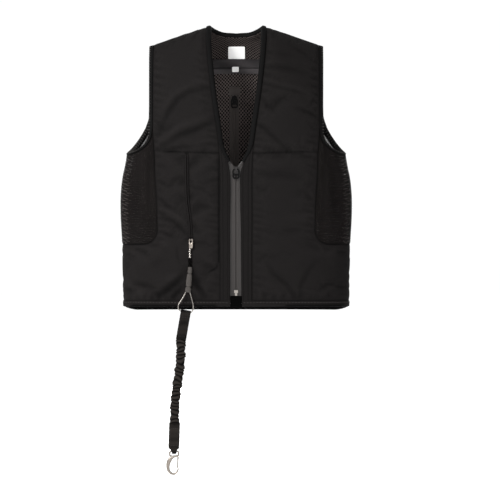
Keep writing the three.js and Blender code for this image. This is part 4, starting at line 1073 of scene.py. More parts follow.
def coated_finish(name, colour, roughness, spread, scale, gloss, metallic, streak=(1, 1, 1)):
    """Coated or moulded surface: a soft mottle in colour, roughness and relief, drawn out to streaks."""
    made, tree, shader = new_finish(name, roughness, metallic, **{"Specular IOR Level": gloss})
    drawn = tree.nodes.new("ShaderNodeMapping")
    drawn.inputs["Scale"].default_value = streak
    tree.links.new(object_vector(tree), drawn.inputs["Vector"])
    mottle = placed(tree, mottle_group(), drawn.outputs[0], Scale=scale)
    shade(tree, shader, colour, mottle.outputs[0], 1 - spread, 1 + spread)
    rough = between(tree, mottle.outputs[0], roughness - 0.08, roughness + 0.1)
    tree.links.new(rough, shader.inputs["Roughness"])
    bump(tree, shader, mottle.outputs[0], 0.0001, 0.4)
    return made


KNITS = {"side_mesh": mesh_finish, "lining": lining_finish}
WOVEN = {
    "softshell": {"gloss": 0.04, "texture": (1100.0, 7.0), "share": 0.8, "swing": (0.7, 1.3),
                  "shades": (0.05, 1.95), "rough": (0.7, 0.9), "relief": (0.00018, 0.5)},
    "binding": {"gloss": 0.03, "texture": (800.0, 24.0), "share": 0.5, "swing": (0.0, 1.0),
                "shades": (0.3, 1.7), "rough": (0.6, 0.86), "relief": (0.00025, 0.6), "with_shading": False},
    "webbing": {"gloss": 0.05, "texture": (620.0, 30.0), "share": 0.45, "swing": (0.5, 1.5),
                "shades": (0.05, 1.95), "rough": (0.62, 0.88), "relief": (0.0004, 0.8)},
}

# Colour, roughness, threads to the metre and spread of shades
SATINS = {
    "satin": ((0.0255, 0.023, 0.0238), 0.42, 1500.0, 0.85),
    "label": ((0.95, 0.94, 0.91), 0.6, 1100.0, 0.25),
    "edge_thread": ((0.07, 0.065, 0.062), 0.6, 1500.0, 0.25),
    "hem_thread": ((0.042, 0.0385, 0.0365), 0.6, 1500.0, 0.25),
    "inner_tape": ((0.05, 0.043, 0.04), 0.6, 1500.0, 0.25),
}

# Colour, or none where it is a setting, roughness, spread of shades, scale of the mottle, gloss and metal
COATED = {
    "zip_tape": (None, 0.36, 0.5, 30.0, 0.16, 0.0, (4.0, 1.0, 0.15)),
    "zip_metal": ((0.0125, 0.0113, 0.0108), 0.36, 0.4, 60.0, 0.12, 0.0),
    "dark_metal": ((0.0018, 0.0018, 0.0018), 0.36, 0.3, 60.0, 0.04, 0.0),
    "black_plastic": ((0.0007, 0.0007, 0.0007), 0.5, 0.3, 60.0, 0.01, 0.0),
    "sleeve": ((0.039, 0.0352, 0.0325), 0.55, 0.2, 60.0, 0.1, 0.0),
    "wire": ((0.2, 0.185, 0.17), 0.38, 0.2, 50.0, 0.5, 1.0),
    "bead": ((0.3, 0.28, 0.26), 0.16, 0.4, 120.0, 0.5, 1.0),
    "steel": (None, 0.4, 0.15, 50.0, 0.5, 1.0),
}


@cache
def finish(name):
    """A finish of the vest by name, made once. A main one takes its colour from the settings."""
    colour = getattr(bpy.context.scene.vest_colours, name, None)
    if name in KNITS:
        return KNITS[name](colour)
    if name in WOVEN:
        return woven_finish(name, colour, **WOVEN[name])
    if name in SATINS:
        return satin_finish(name, *SATINS[name])
    own_colour, *rest = COATED[name]
    return coated_finish(name, own_colour or colour, *rest)


def dressed(name, solid, slot, nodes, uv=None, crease=50.0, body=BODY, surface=None, relief=None):
    """A piece that rides on a body, stands for CAD nodes and has the finish of its surface, or else of its
    slot.
    """
    piece = build(name, solid, finish(surface or slot), uv, crease, relief)
    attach(piece, body)
    if nodes:
        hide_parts(*nodes)
    return piece


def dressed_tubes(name, tubes, slot, nodes, **more):
    """Such a piece through the rings of one or more tubes."""
    solid = merged(*(tube(rings) for rings in tubes))
    return dressed(name, solid, slot, nodes, np.concatenate([ring_uv(rings) for rings in tubes]), **more)


def dressed_layer(name, faces, grid, slot, nodes, relief=None, **more):
    """Such a piece between an outer and an inner face over a grid of places, with a relief on both."""
    if relief is not None:
        relief = np.tile(np.broadcast_to(relief, grid.shape[:2]).ravel(), 2)
    return dressed(name, slab(*faces), slot, nodes, np.tile(cloth_uv(grid), (2, 1)), relief=relief, **more)


# Stage

CAMERA_X = 28.8
CAMERA_Z = -455.9
CAMERA_AWAY = 7000.0
CAMERA_PLANE = -45.0
FRAME_WIDTH = 500 * 2.08
SENSOR = 36.0
ROOM_LIGHT = 0.22
BACKDROP_LIGHT = 1.02
BACKDROP_EDGE = (-0.5, 0.7)
FLOOR_HALF = 30.0
FLOOR_POINTS = 9
FLOOR_DROP = 0.03

# Lamps: name, place in metres, size and power
LAMPS = (
    ("key", (-2.4, -3.0, 2.2), 1.2, 330.0),
    ("front", (0.8, -5.6, 0.2), 2.5, 90.0),
    ("rear", (0.6, 5.0, -0.5), 2.0, 120.0),
)


class VEST_OT_stage(bpy.types.Operator):
    """Camera at the photograph's angle, soft white light and a pale floor"""

    bl_idname = "vest.stage"
    bl_label = "Stage"

    def execute(self, context):
        scene = context.scene
        scene.view_settings.view_transform = "Standard"
        camera = bpy.data.cameras.new("camera")
        camera.sensor_width = SENSOR
        camera.lens = SENSOR * CAMERA_AWAY / FRAME_WIDTH
        camera.clip_end = 100
        holder = bpy.data.objects.new("camera", camera)
        holder.location = (CAMERA_X * MM, (CAMERA_PLANE - CAMERA_AWAY) * MM, CAMERA_Z * MM)
        holder.rotation_euler = (np.pi / 2, 0, 0)
        scene.collection.objects.link(holder)
        scene.camera = holder
        scene.world = self.studio()
        for name, place, size, power in LAMPS:
            light = bpy.data.lights.new(name, "AREA")
            light.size = size
            light.energy = power
            lamp = bpy.data.objects.new(name, light)
            lamp.location = place
            aim = np.array([0, 0, CAMERA_Z * MM]) - np.array(place)
            pitch = np.arctan2(np.hypot(aim[0], aim[1]), -aim[2])
            lamp.rotation_euler = (pitch, 0, np.arctan2(aim[1], aim[0]) - np.pi / 2)
            scene.collection.objects.link(lamp)
        self.floor(scene)
        return {"FINISHED"}

    def studio(self):
        """White backdrop behind the vest that falls off, by a smooth step of the direction, to a dim room."""
        world = bpy.data.worlds.new("studio")
        world.use_nodes = True
        tree = world.node_tree
        sky = tree.nodes["Background"]
        sky.inputs["Color"].default_value = (1, 1, 1, 1)
        towards = tree.nodes.new("ShaderNodeSeparateXYZ")
        tree.links.new(tree.nodes.new("ShaderNodeTexCoord").outputs["Generated"], towards.inputs[0])
        share = tree.nodes.new("ShaderNodeMapRange")
        share.interpolation_type = "SMOOTHSTEP"
        for socket, value in zip(share.inputs[1:5], (*BACKDROP_EDGE, ROOM_LIGHT, BACKDROP_LIGHT)):
            socket.default_value = value
        tree.links.new(towards.outputs["Y"], share.inputs[0])
        tree.links.new(share.outputs[0], sky.inputs["Strength"])
        return world

    def floor(self, scene):
        """A wide flat grid just under the hook."""
        line = np.linspace(-FLOOR_HALF, FLOOR_HALF, FLOOR_POINTS)
        x, y = np.meshgrid(line, line)
        points = np.stack([x, y, np.full(x.shape, CAD_BOX[0][2] - FLOOR_DROP)], axis=-1).reshape(-1, 3)
        number = np.arange(x.size).reshape(x.shape)
        mesh = bpy.data.meshes.new("floor")
        mesh.from_pydata(points.tolist(), [], cells(number).reshape(-1, 4).tolist())
        made, _, shader = new_finish("floor", 0.9)
        shader.inputs["Base Color"].default_value = (0.93, 0.93, 0.93, 1)
        shader.inputs["Emission Color"].default_value = (1, 1, 1, 1)
        shader.inputs["Emission Strength"].default_value = 0.5
        mesh.materials.append(made)
        floor = bpy.data.objects.new("floor", mesh)
        scene.collection.objects.link(floor)


# Lanyard

def in_plane(x, z):
    """Points of the strap's plane at x and z in front view."""
    return np.stack(np.broadcast_arrays(x, STRAP_Y, z), axis=-1)


def lean_point(t, a, b, sway=0.0):
    """Point of the lanyard between two ends in front view, with a sideways sway, in the strap's plane."""
    t = np.asarray(t, float)
    x = mix(a[0], b[0], t) + sway * np.sin(2 * np.pi * t)
    return in_plane(x, mix(a[1], b[1], t))


def folded_band(top, foot, width, ply, eye, spread, pinch=0.0):
    """Webbing folded over a bar: a flat band carried up one face, half round the bar and down the other,
    narrower by a share at the bar. Returns its rings."""
    drop = np.hypot(foot[0] - top[0], foot[1] - top[1])
    down = np.array([foot[0] - top[0], 0, foot[1] - top[1]]) / drop
    leg = np.linspace(drop, 1.8 * eye, 46)
    arc = np.linspace(0, np.pi, 22)[1:-1]
    gap = np.concatenate([
        mix(eye, spread, fade(0, 14, leg)), eye * np.cos(arc), -mix(eye, spread, fade(0, 14, leg[::-1]))])
    run = np.concatenate([leg, -eye * np.sin(arc) + 0.6 * eye * np.cos(arc) ** 2, leg[::-1]])
    centres = np.array([top[0], STRAP_Y, top[1]]) + run[:, None] * down + gap[:, None] * np.array([0, 1.0, 0])
    along = tangents(centres)
    across = unit(np.cross(down, np.array([0, 1.0, 0])))
    through = unit(np.cross(along, np.broadcast_to(across, along.shape)))
    c, s = oval(20, 0.45)
    half = (0.5 * width * (1 + 0.006 * np.sin(run * 0.9)) * (1 - pinch * fade(6, -eye, run)))[:, None, None]
    return (centres[:, None] + across * half * c[None, :, None]
            + through[:, None] * (0.5 * ply) * s[None, :, None])


def gathered_band(gathers):
    """Sleeve gathered over elastic. Along the path the section swells between pinched folds, as the root of a
    rectified sine, and each fold leans across the band by an amount of its own. Returns its rings and the
    painted shading of the folds: shade in the pinches, highlight on the swells."""
    t = np.linspace(-0.01, 1.0, 420)
    centre = lean_point(t, TAB_FOOT, BUNGEE_FOOT, BUNGEE_SWAY)
    across, through = path_sides(centre)
    angle = np.linspace(0, 2 * np.pi, 36, endpoint=False)
    c, s = oval(36, 0.75)
    phase = gathers * (t + 0.012 * np.sin(9.3 * t) + 0.008 * np.sin(31 * t + 1))
    lean = 0.22 * np.sin(2.1 * phase) + 0.16 * np.sin(0.77 * phase + 2)
    wander = 0.12 * np.sin(3 * angle + 0.6 * np.floor(phase)[:, None])
    fold = phase[:, None] + lean[:, None] * c[None, :] + wander
    puff = np.abs(np.sin(np.pi * fold)) ** 0.55
    size = 0.8 + 0.07 * np.sin(1.9 * phase)[:, None] + 0.26 * puff
    half = 9.4 * size * (1 + 0.06 * np.sin(2.6 * phase + 0.5)[:, None] * c[None, :])
    deep = 6.2 * (0.62 + 0.42 * puff)
    rings = (centre[:, None] + across[:, None] * (half * c[None, :])[..., None]
             + through[:, None] * (deep * s[None, :])[..., None])
    # Painted shading of the gathers: shade in the pinches, highlight on the swells
    return rings, 10.0 * (puff - 0.8)


def end_band():
    """Flat end of the webbing, whose foot is folded in at both corners."""
    t = np.linspace(-0.02, 1.0, 90)
    centre = lean_point(t, BUNGEE_FOOT, STRAP_FOOT)
    half = 11.2 * (1 - 0.28 * fade(0.94, 1.0, t)) * (1 + 0.012 * np.sin(40 * t))
    thick = 2.5 + 0.25 * np.sin(26 * t) * fade(0.1, 0.3, t)
    return swept(centre, half, thick, 28, squareness=4.5)


def webbing_shading(rings):
    """Relief for the painted shading of a flat band: painted shade towards its ends, and darker and lighter
    in slow waves along it, a sine of the height.
    """
    z = rings[..., 2]
    low, high = z.min(), z.max()
    ends = fade(low + 7, low, z) + fade(high - 9, high, z)
    return with_ends(0.7 * np.sin(0.21 * z) + 0.4 * np.sin(0.47 * z + 1) - 1.6 * ends)


class VEST_OT_lanyard(bpy.types.Operator):
    """Webbing folded over the ring, gathered over elastic and sewn down to the hook"""

    bl_idname = "vest.lanyard"
    bl_label = "Lanyard"

    def execute(self, context):
        sleeve, gather_shading = gathered_band(context.scene.vest_sizes.gathers)
        parts = [
            folded_band(RING_BAR, TAB_FOOT, width=21.0, ply=2.3, eye=3.0, spread=1.25),
            sleeve,
            end_band(),
            folded_band(LOOP_BAR, LOOP_FOOT, width=14.5, ply=3.4, eye=3.8, spread=1.6, pinch=0.34),
        ]
        # Painted shading of the bands: shade towards their ends and in the pinches of the gathers
        relief = [webbing_shading(rings) for rings in parts]
        relief[0] = relief[0] - TAB_SHADE
        relief[1] = with_ends(gather_shading)
        piece = dressed_tubes(
            "lanyard_strap", parts, "webbing", ["lanyard_top_tab", "lanyard_bungee", "lanyard_end_tab"],
            crease=65, relief=np.concatenate(relief))
        path = np.concatenate([
            lean_point(np.linspace(0, 1, 8)[:-1], RING_BAR, TAB_FOOT),
            lean_point(np.linspace(0, 1, 20)[:-1], TAB_FOOT, BUNGEE_FOOT, BUNGEE_SWAY),
            lean_point(np.linspace(0, 1, 8)[:-1], BUNGEE_FOOT, STRAP_FOOT),
            lean_point(np.linspace(0, 1, 3), STRAP_FOOT, LOOP_BAR)]) * MM
        hook, gate = make_hook(), make_gate()
        return {"FINISHED"}


def make_hook():
    """Snap hook: an oval bar bent through the rows of HOOK, broad at its spine, and a wire eye above it,
    whose line is a flat superellipse."""
    x, z, wide, thick = spline(HOOK, 150).T
    bar = swept(in_plane(x, z), wide, thick, 24, squareness=2.4)
    c, s = oval(96, 0.6)
    round_eye = in_plane(HOOK_EYE[0] + EYE_HALF[0] * c, HOOK_EYE[1] + EYE_HALF[1] * s)
    eye = swept(round_eye, EYE_WIRE, EYE_WIRE, 16, closed=True)
    return dressed("snap_hook", merged(tube(bar), tube(eye, True)), "steel", ["hook_body"],
                   np.concatenate([ring_uv(bar), ring_uv(eye)[:-2]]))


def make_gate():
    """Spring gate: a thin rod with a round knuckle near its top and a flared foot."""
    t = np.linspace(0, 1, 60)
    centre = lean_point(t, *GATE)
    radius = GATE_RADIUS * (0.85 + 0.25 * np.exp(-((t - 0.12) / 0.09) ** 2) + 0.45 * fade(0.82, 0.95, t)
                            - 0.2 * fade(0.06, 0, t))
    rings = swept(centre, radius, radius, 18)
    return dressed_tubes("snap_gate", [rings], "steel", ["hook_gate"], body="gate")


# Vest body

def puckers(face, away):
    """Small pleats that run off a sewn edge: a sine of the height whose pitch wanders, dying off with the
    distance from the edge, and the same along the hem with a sine of x."""
    z, x = face[..., 2], face[..., 0]
    up = np.sin(2 * np.pi * z / 15.5 + 1.7 * np.sin(z / 31) + 0.08 * x) * (0.6 + 0.4 * np.sin(z / 23))
    along = np.sin(2 * np.pi * x / 17 + 1.9 * np.sin(x / 29)) * (0.6 + 0.4 * np.sin(x / 41))
    at_hem = fade(40, 0, z - HEM_TOP)
    return mix(up, along, at_hem) * fade(0, 5, away) * np.exp(-away / 14)


def settled(outer, normal, held):
    """How far a padded face moves out when it is let settle as cloth, in millimetres. Every second row
    and column of its points is an open sheet, cut a little large, that is pinned where it is sewn and
    pressed out from inside. The move along the normal is capped by a hyperbolic tangent and spread back
    linearly over all points."""
    coarse, facing = outer[::2, ::2], normal[::2, ::2]
    good = np.isfinite(coarse[..., 0])
    number = np.where(good, np.cumsum(good).reshape(good.shape) - 1, -1)
    quads = cells(number).reshape(-1, 4)
    quads = quads[(quads >= 0).all(1)]
    points = coarse[good]
    a, b, c = (points[quads[:, k]] for k in range(3))
    if np.sum(np.cross(b - a, c - a) * facing[good][quads[:, 0]]) < 0:
        quads = quads[:, ::-1]
    scene = bpy.context.scene
    mesh = bpy.data.meshes.new("settling_cloth")
    mesh.from_pydata((points * MM).tolist(), [], quads.tolist())
    sheet = bpy.data.objects.new("settling_cloth", mesh)
    scene.collection.objects.link(sheet)
    sheet.vertex_groups.new(name="sewn").add(np.flatnonzero(held[::2, ::2][good]).tolist(), 1.0, "REPLACE")
    cloth = sheet.modifiers.new("settle", "CLOTH")
    for setting, value in SETTLE_CLOTH.items():
        setattr(cloth.settings, setting, value)
    cloth.settings.effector_weights.gravity = 0
    cloth.collision_settings.use_collision = False
    cloth.point_cache.frame_start, cloth.point_cache.frame_end = 1, SETTLE_FRAMES
    for moment in range(1, SETTLE_FRAMES + 1):
        scene.frame_set(moment)
    moved = np.empty(points.size, np.float32)
    rested = sheet.evaluated_get(bpy.context.evaluated_depsgraph_get())
    rested.data.vertices.foreach_get("co", moved)
    move = np.zeros(good.shape)
    move[good] = np.sum((moved.reshape(-1, 3) / MM - points) * facing[good], axis=-1)
    bpy.data.objects.remove(sheet)
    bpy.data.meshes.remove(mesh)
    scene.frame_set(1)
    return refined(SETTLE_CAP * np.tanh(move / SETTLE_CAP), outer.shape[0] - 1, outer.shape[1] - 1)


def less_mean(values, reach):
    """Values less the mean of the four that lie a number of rows and columns away."""
    wide = np.pad(values, reach, mode="edge")
    middle = slice(reach, -reach)
    around = (wide[2 * reach:, middle] + wide[:-2 * reach, middle]
              + wide[middle, 2 * reach:] + wide[middle, :-2 * reach])
    return values - around / 4


def padded_wall(grid, dip, roll, sewn=()):
    """Padded cloth over a grid of places. The face sinks at the outline by an exponential of the distance to
    it, and along sewn lines by a bell, and then settles as cloth. Returns its outer and inner points and the
    relief that paints its shading: painted shade along the outline, in the sewn grooves and in the creases of
    the settled cloth, and shade and highlight over its puckers."""
    safe = np.nan_to_num(grid, nan=BLANK_PLACE)
    face = skin(safe)
    away = from_outline(grid, face)
    pleats = puckers(face, away)
    sunk = dip * np.exp(-((away / roll) ** 1.3)) - 0.5 * pleats
    # Painted shading: shade and highlight over the puckers and painted shade along the outline; the sewn
    # grooves and settled creases add their painted shade below
    relief = 0.9 * pleats - 1.5 * np.exp(-((away / 1.6) ** 2))
    held = away < SETTLE_HELD
    for line, width, deep in sewn:
        groove = np.exp(-((from_line(face[..., 0], face[..., 2], line)[0] / width) ** 2))
        sunk, relief = sunk + deep * groove, relief - 2.2 * groove
        held |= groove > 0.3
    outer, inner = faces_at(grid, sunk, WALL)
    normal = frame_at(safe)[3]
    move = settled(outer, normal, held)
    outer += normal * move[..., None]
    relief = relief + 0.6 * less_mean(move, 6)
    return (outer, inner), relief


class VEST_OT_panels(bpy.types.Operator):
    """Padded softshell fronts and back"""

    bl_idname = "vest.panels"
    bl_label = "Fronts and back"

    def execute(self, context):
        sizes = context.scene.vest_sizes
        dip, roll = sizes.seam_dip / MM, sizes.seam_roll / MM
        rows = (
            ("front_right_cloth", mirror(EDGES.front), "front_panel_right",
             [(CHEST_SEAM["right"], 1.2, 0.8), (POCKET_PATCH, 1.4, 0.7), (SLIT, 3.5, 1.2)]),
            ("front_left_cloth", EDGES.front, "front_panel_left", [(CHEST_SEAM["left"], 1.2, 0.8)]),
            ("back_cloth", EDGES.back, "back_panel", []),
        )
        for name, grid, node, sewn in rows:
            faces, relief = padded_wall(grid, dip, roll, sewn)
            piece = dressed_layer(name, faces, grid, "softshell", [node], relief)
        return {"FINISHED"}


class VEST_OT_side_mesh(bpy.types.Operator):
    """Ribbed stretch mesh under the arms"""

    bl_idname = "vest.side_mesh"
    bl_label = "Side mesh"

    def execute(self, context):
        pitch = context.scene.vest_sizes.mesh_rib / MM
        fine = refined(EDGES.mesh, 384, 56)
        for side, grid in (("right", mirror(fine)), ("left", fine)):
            face = skin(grid)
            q, z = np.abs(grid[..., 0]), face[..., 2]
            away = from_outline(grid, face)
            inside = fade(0, 6, away)
            rib = 0.5 + 0.5 * np.cos(2 * np.pi * z / pitch)
            slack = 0.9 * np.sin(34 * q + 0.012 * z) + 0.7 * np.sin(0.05 * z + 6 * q)
            depth = MESH_RECESS - inside * (0.75 * rib + slack) + 0.2 * (1 - inside)
            faces = faces_at(grid, depth, MESH_RECESS + MESH_WALL)
            up = np.linspace(0, 1, len(grid))[:, None]
            patchy = 0.6 + 0.4 * np.sin(0.043 * z + 11 * q + 1) * np.sin(17 * q)
            light_specks = fade(0.1, 0.5, np.sin(2 * np.pi * z / 5.3 + 46 * np.abs(q - 1)) * np.sin(0.31 * z))
            at_side = fade(0.68, 0.77, q) * fade(0.93, 0.86, q)
            # Painted shading of the mesh: highlight on its ribs and shade between them, in patches; painted
            # shade along its outline; lighter and more open at the upper back; painted specks of light in a
            # band of the front near the side
            relief = (4.4 * (rib - 0.5) * patchy * inside - 4.2 * fade(5, 0, away)
                      + 2.2 * fade(1.03, 1.1, q) * fade(0.72, 0.9, up) + 6.0 * light_specks * at_side * inside)
            piece = dressed_layer(f"side_mesh_{side}_knit", faces, grid, "side_mesh", [f"side_mesh_{side}"],
                                  relief, crease=80)
        return {"FINISHED"}


# Step of the rings along a binding, and the height of its ribs at the neck and the armholes
BINDING_STEP = 0.6
NECK_RISE = 0.28
ARM_RISE = 0.15

# Section of a binding: share of its width from the free edge, and depth under the outer surface
BINDING_SECTION = np.array([
    (1.0, 0.5), (0.97, -0.35), (0.8, -0.75), (0.5, -0.95), (0.25, -0.6), (0.08, 0.8), (0.0, 3.0),
    (-0.03, 5.0), (0.0, 7.0), (0.08, 9.2), (0.25, 10.6), (0.5, 10.95), (0.8, 10.75), (0.97, 10.35),
    (1.0, 9.5),
])

# The same round an armhole, where the tape lies flatter
ARM_SECTION = np.stack([BINDING_SECTION[:, 0], np.clip(BINDING_SECTION[:, 1], -0.4, WALL + 0.4)], axis=-1)


def arm_sink(places):
    """How deep an armhole's binding lies at places: deeper under the arm and over the shoulder's top."""
    under = fade(0.7, 0.92, np.abs(places[..., 0])) * fade(1.3, 1.08, np.abs(places[..., 0]))
    return 2.0 * under * fade(150, 200, np.abs(places[..., 1])) + 1.6 * fade(30, 4, np.abs(places[..., 1]))


def bound_edge(edge, far, rib, rise, section=BINDING_SECTION, sink=0.0):
    """Binding folded over an edge: a section carried along it. Ribs lift the section by a rectified
    cosine of the length along the edge, and fade out at the far side. Returns its rings."""
    run = length_along(skin(edge))
    shape = spline(section, 22)
    at = mix(edge[:, None], far[:, None], shape[None, :, :1])
    lift = rise * np.abs(np.cos(np.pi * run / rib))[:, None] * fade(1.0, 0.8, shape[:, 0])[None]
    outward = np.sign(WALL / 2 - shape[:, 1])[None]
    return wall_point(at, shape[None, :, 1] + np.broadcast_to(sink, len(edge))[:, None] - lift * outward)


class VEST_OT_bindings(bpy.types.Operator):
    """Ribbed elastic bindings round the neck and the armholes"""

    bl_idname = "vest.bindings"
    bl_label = "Bindings"

    def execute(self, context):
        rib = context.scene.vest_sizes.binding_rib / MM
        neck = even_edge(np.column_stack([EDGES.neck, EDGES.neck_widths]), BINDING_STEP)
        rings = bound_edge(neck[:, :2], inset(neck[:, :2], neck[:, 2]), rib, NECK_RISE)
        dressed_tubes("neck_binding_tape", [rings], "binding", ["neck_binding"], crease=70)
        arm = np.column_stack([EDGES.arm, EDGES.arm_widths])
        arm = even_edge(np.concatenate([arm, arm_start(arm)]), BINDING_STEP)[:-1]
        edge, far = arm[:, :2], inset(arm[:, :2], -arm[:, 2], True)
        for side, near, off in (("right", mirror(edge), mirror(far)), ("left", edge, far)):
            rings = bound_edge(near, off, rib, ARM_RISE, ARM_SECTION, arm_sink(near))
            dressed(f"armhole_{side}_tape", tube(rings, True), "binding", [f"armhole_binding_{side}"],
                    ring_uv(rings)[:-2], 70)
        return {"FINISHED"}


def arm_start(arm):
    """The first row of the armhole again, written on the back so that the loop closes smoothly."""
    return np.concatenate([wrap(arm[:1, :2]), arm[:1, 2:]], axis=-1)


def even_edge(rows, step):
    """Rows of places, with or without a width, cut to an even step along the surface."""
    run = length_along(skin(rows[:, :2]))
    return follow(np.linspace(0, run[-1], int(run[-1] / step) + 1), run, rows)


# Section of the hem, with the same columns
HEM_SECTION = np.array([
    (1.0, 1.0), (0.97, 0.35), (0.8, 0.1), (0.62, 0.15), (0.5, 0.1), (0.2, 0.2), (0.05, 0.9), (0.0, 3.0),
    (-0.02, 5.0), (0.0, 7.0), (0.05, 9.2), (0.3, 10.1), (0.8, 10.1), (0.97, 9.9), (1.0, 9.2),
])


def hem_path(step):
    """Places along the hem's seam, from the zip round the back to the zip again."""
    start = place_at(PLACKET_INNER, HEM_TOP)[0]
    q = np.linspace(start, 2, 1200)
    half = even_edge(np.stack([q, reach_of(hem_z(q))], axis=-1), step)
    return np.concatenate([half, mirror(half[::-1])[1:]])


class VEST_OT_hem(bpy.types.Operator):
    """Turned hem round the lower edge"""

    bl_idname = "vest.hem"
    bl_label = "Hem"

    def execute(self, context):
        seam = hem_path(HEM_STEP)
        far = seam + np.array([0, SEAM])
        edge = seam + np.array([0, HEM_HEIGHT])
        rings = bound_edge(edge, far, HEM_RIPPLE, HEM_RISE, HEM_SECTION)
        x, z = rings[..., 0], rings[..., 2]
        # The hem is painted darker below a line that rises over two curved stretches
        lens = np.where(x < 0, 1 - ((x + 129) / 98) ** 2, 1 - ((x - 164) / 67) ** 2)
        border = HEM_TOP - HEM_HEIGHT * (0.95 - 0.42 * np.clip(lens, 0, 1))
        relief = with_ends(-3.4 * fade(border + 0.7, border - 0.7, z))
        dressed_tubes("hem_cloth", [rings], "softshell", ["hem_binding"], relief=relief)
        return {"FINISHED"}


# Front opening

class VEST_OT_plackets(bpy.types.Operator):
    """Cloth strips either side of the zip"""

    bl_idname = "vest.plackets"
    bl_label = "Plackets"

    def execute(self, context):
        outer_edge = EDGES.placket_outer
        top = even_edge(EDGES.placket_top, 1.4)
        inner_edge = resample(np.concatenate([
            place_at(PLACKET_INNER, np.array([HEM_TOP, -420.0, -300.0])), top[:1]]), PLACKET_ROWS)
        top[-1] = outer_edge[-1]
        bottom = straight(inner_edge[0], outer_edge[0], len(top) - 1)
        grid = patch(bottom, top, inner_edge, outer_edge)
        reach = np.interp(skin(inner_edge)[:, 2], PLACKET_OVER[:, 0], PLACKET_OVER[:, 1])
        wide_edge = inner_edge.copy()
        wide_edge[:, 0] *= 1 - reach / PLACKET_INNER
        wide = patch(straight(wide_edge[0], outer_edge[0], len(top) - 1), top, wide_edge, outer_edge)
        across = np.linspace(0, 1, grid.shape[1])[None]
        line = np.exp(-((across - 0.62) / 0.05) ** 2) + np.exp(-((across - 0.2) / 0.04) ** 2)
        sunk = 0.6 + 0.7 * fade(0.12, 0, across) + 0.8 * fade(0.9, 1, across) + 0.4 * line
        # Painted shade along the two sunk stitch lines and at both edges, and a little darker overall
        relief = -0.4 - 0.9 * line - 1.5 * fade(0.88, 1, across) - 0.7 * fade(0.12, 0, across)
        for side, places in (("right", mirror(grid)), ("left", wide)):
            dressed_layer(f"placket_{side}_cloth", faces_at(places, sunk, PLACKET_DEPTH), places, "softshell",
                          [f"placket_{side}"], relief)
        return {"FINISHED"}


def toothed(centre, pitch, half, high):
    """Zip coil as a ribbed strip: its half-sizes swell at each tooth by a power of a rectified sine of the
    length along it. Returns its rings."""
    run = length_along(centre)
    tooth = np.abs(np.sin(np.pi * run / pitch)) ** 0.6
    return swept(centre, half * (0.86 + 0.14 * tooth), high * (0.55 + 0.45 * tooth), 12, squareness=2.6)


class VEST_OT_front_zip(bpy.types.Operator):
    """Coated tapes, coil and end block of the front zip"""

    bl_idname = "vest.front_zip"
    bl_label = "Front zip"

    def execute(self, context):
        z = np.linspace(ZIP_BOTTOM, TAPE_SPREAD[0, 0], 120)[:-1]
        closed = np.stack([z, np.full(len(z), TAPE_SPREAD[0, 1])], -1)
        rows = np.concatenate([closed, spline(TAPE_SPREAD, 12)])
        share = np.linspace(0, 1, 26)[None]
        x = mix(rows[:, 1:], TAPE_EDGE, share)
        bulge = 0.65 * np.exp(-(((x - rows[:, 1:]) - 3.4) / 2.3) ** 2)
        lip = 0.5 * fade(1.2, 0.0, x - rows[:, 1:])
        depth = TAPE_DEPTH[0] - bulge + lip + 0.35 * np.exp(-((x - 9.2) / 0.5) ** 2)
        for side, sign in (("right", -1), ("left", 1)):
            at = place_at(sign * x, rows[:, :1])
            dressed_layer(f"zip_tape_{side}_coated", faces_at(at, depth, TAPE_DEPTH[1]), at, "zip_tape",
                          [f"zip_tape_{side}"])
        z = np.linspace(ZIP_BOTTOM, TAPE_SPREAD[0, 0], 900)
        rings = toothed(wall_point(place_at(0.0, z), COIL_DEPTH), COIL_PITCH, 2.5, 1.0)
        dressed_tubes("zip_teeth", [rings], "black_plastic", ["zip_coil"], surface="zip_tape")
        self.end_block()
        return {"FINISHED"}

    def end_block(self):
        """Moulded block over the foot of the zip, rounded at its edges and stepped at its top."""
        z = np.linspace(HEM_TOP - HEM_HEIGHT, ZIP_BOTTOM - CAD_SEAM, 40)[:, None]
        x = np.linspace(-END_TAB, END_TAB, 44)[None]
        at = place_at(x, z)
        side = np.minimum(END_TAB - np.abs(x), np.minimum(z - z[0], z[-1] - z))
        depth = -0.8 + 1.3 * np.exp(-((side / 0.9) ** 1.5)) + 0.5 * fade(-553.5, -552.5, z)
        faces = faces_at(at, depth, END_TAB_DEPTH)
        dressed_layer("zip_end_block", faces, at, "black_plastic", ["zip_end_tab"])


# Inside of the back

def inside_sheet(x, half, top, bottom, thick, depth, columns, rows, relief, corner=0.01):
    """Sheet on the inside of the back between two heights, with a relief over its share across and up and
    round corners of a given radius. Returns its faces, its places and the painted shading of its relief:
    shade in its dips, highlight on its swells."""
    across = np.linspace(0, 1, columns + 1)[None]
    up = np.linspace(0, 1, rows + 1)[:, None]
    into = np.clip(1 - np.minimum(up, 1 - up) * (top - bottom) / corner, 0, 1)
    half = half - corner * (1 - np.sqrt(1 - into**2))
    at = place_at(x + half * (2 * across - 1) + 0 * up, mix(bottom, top, up) + 0 * across, -1)
    lift = relief(across, up)
    return faces_at(at, depth, depth + thick + lift), at, 3.5 * lift


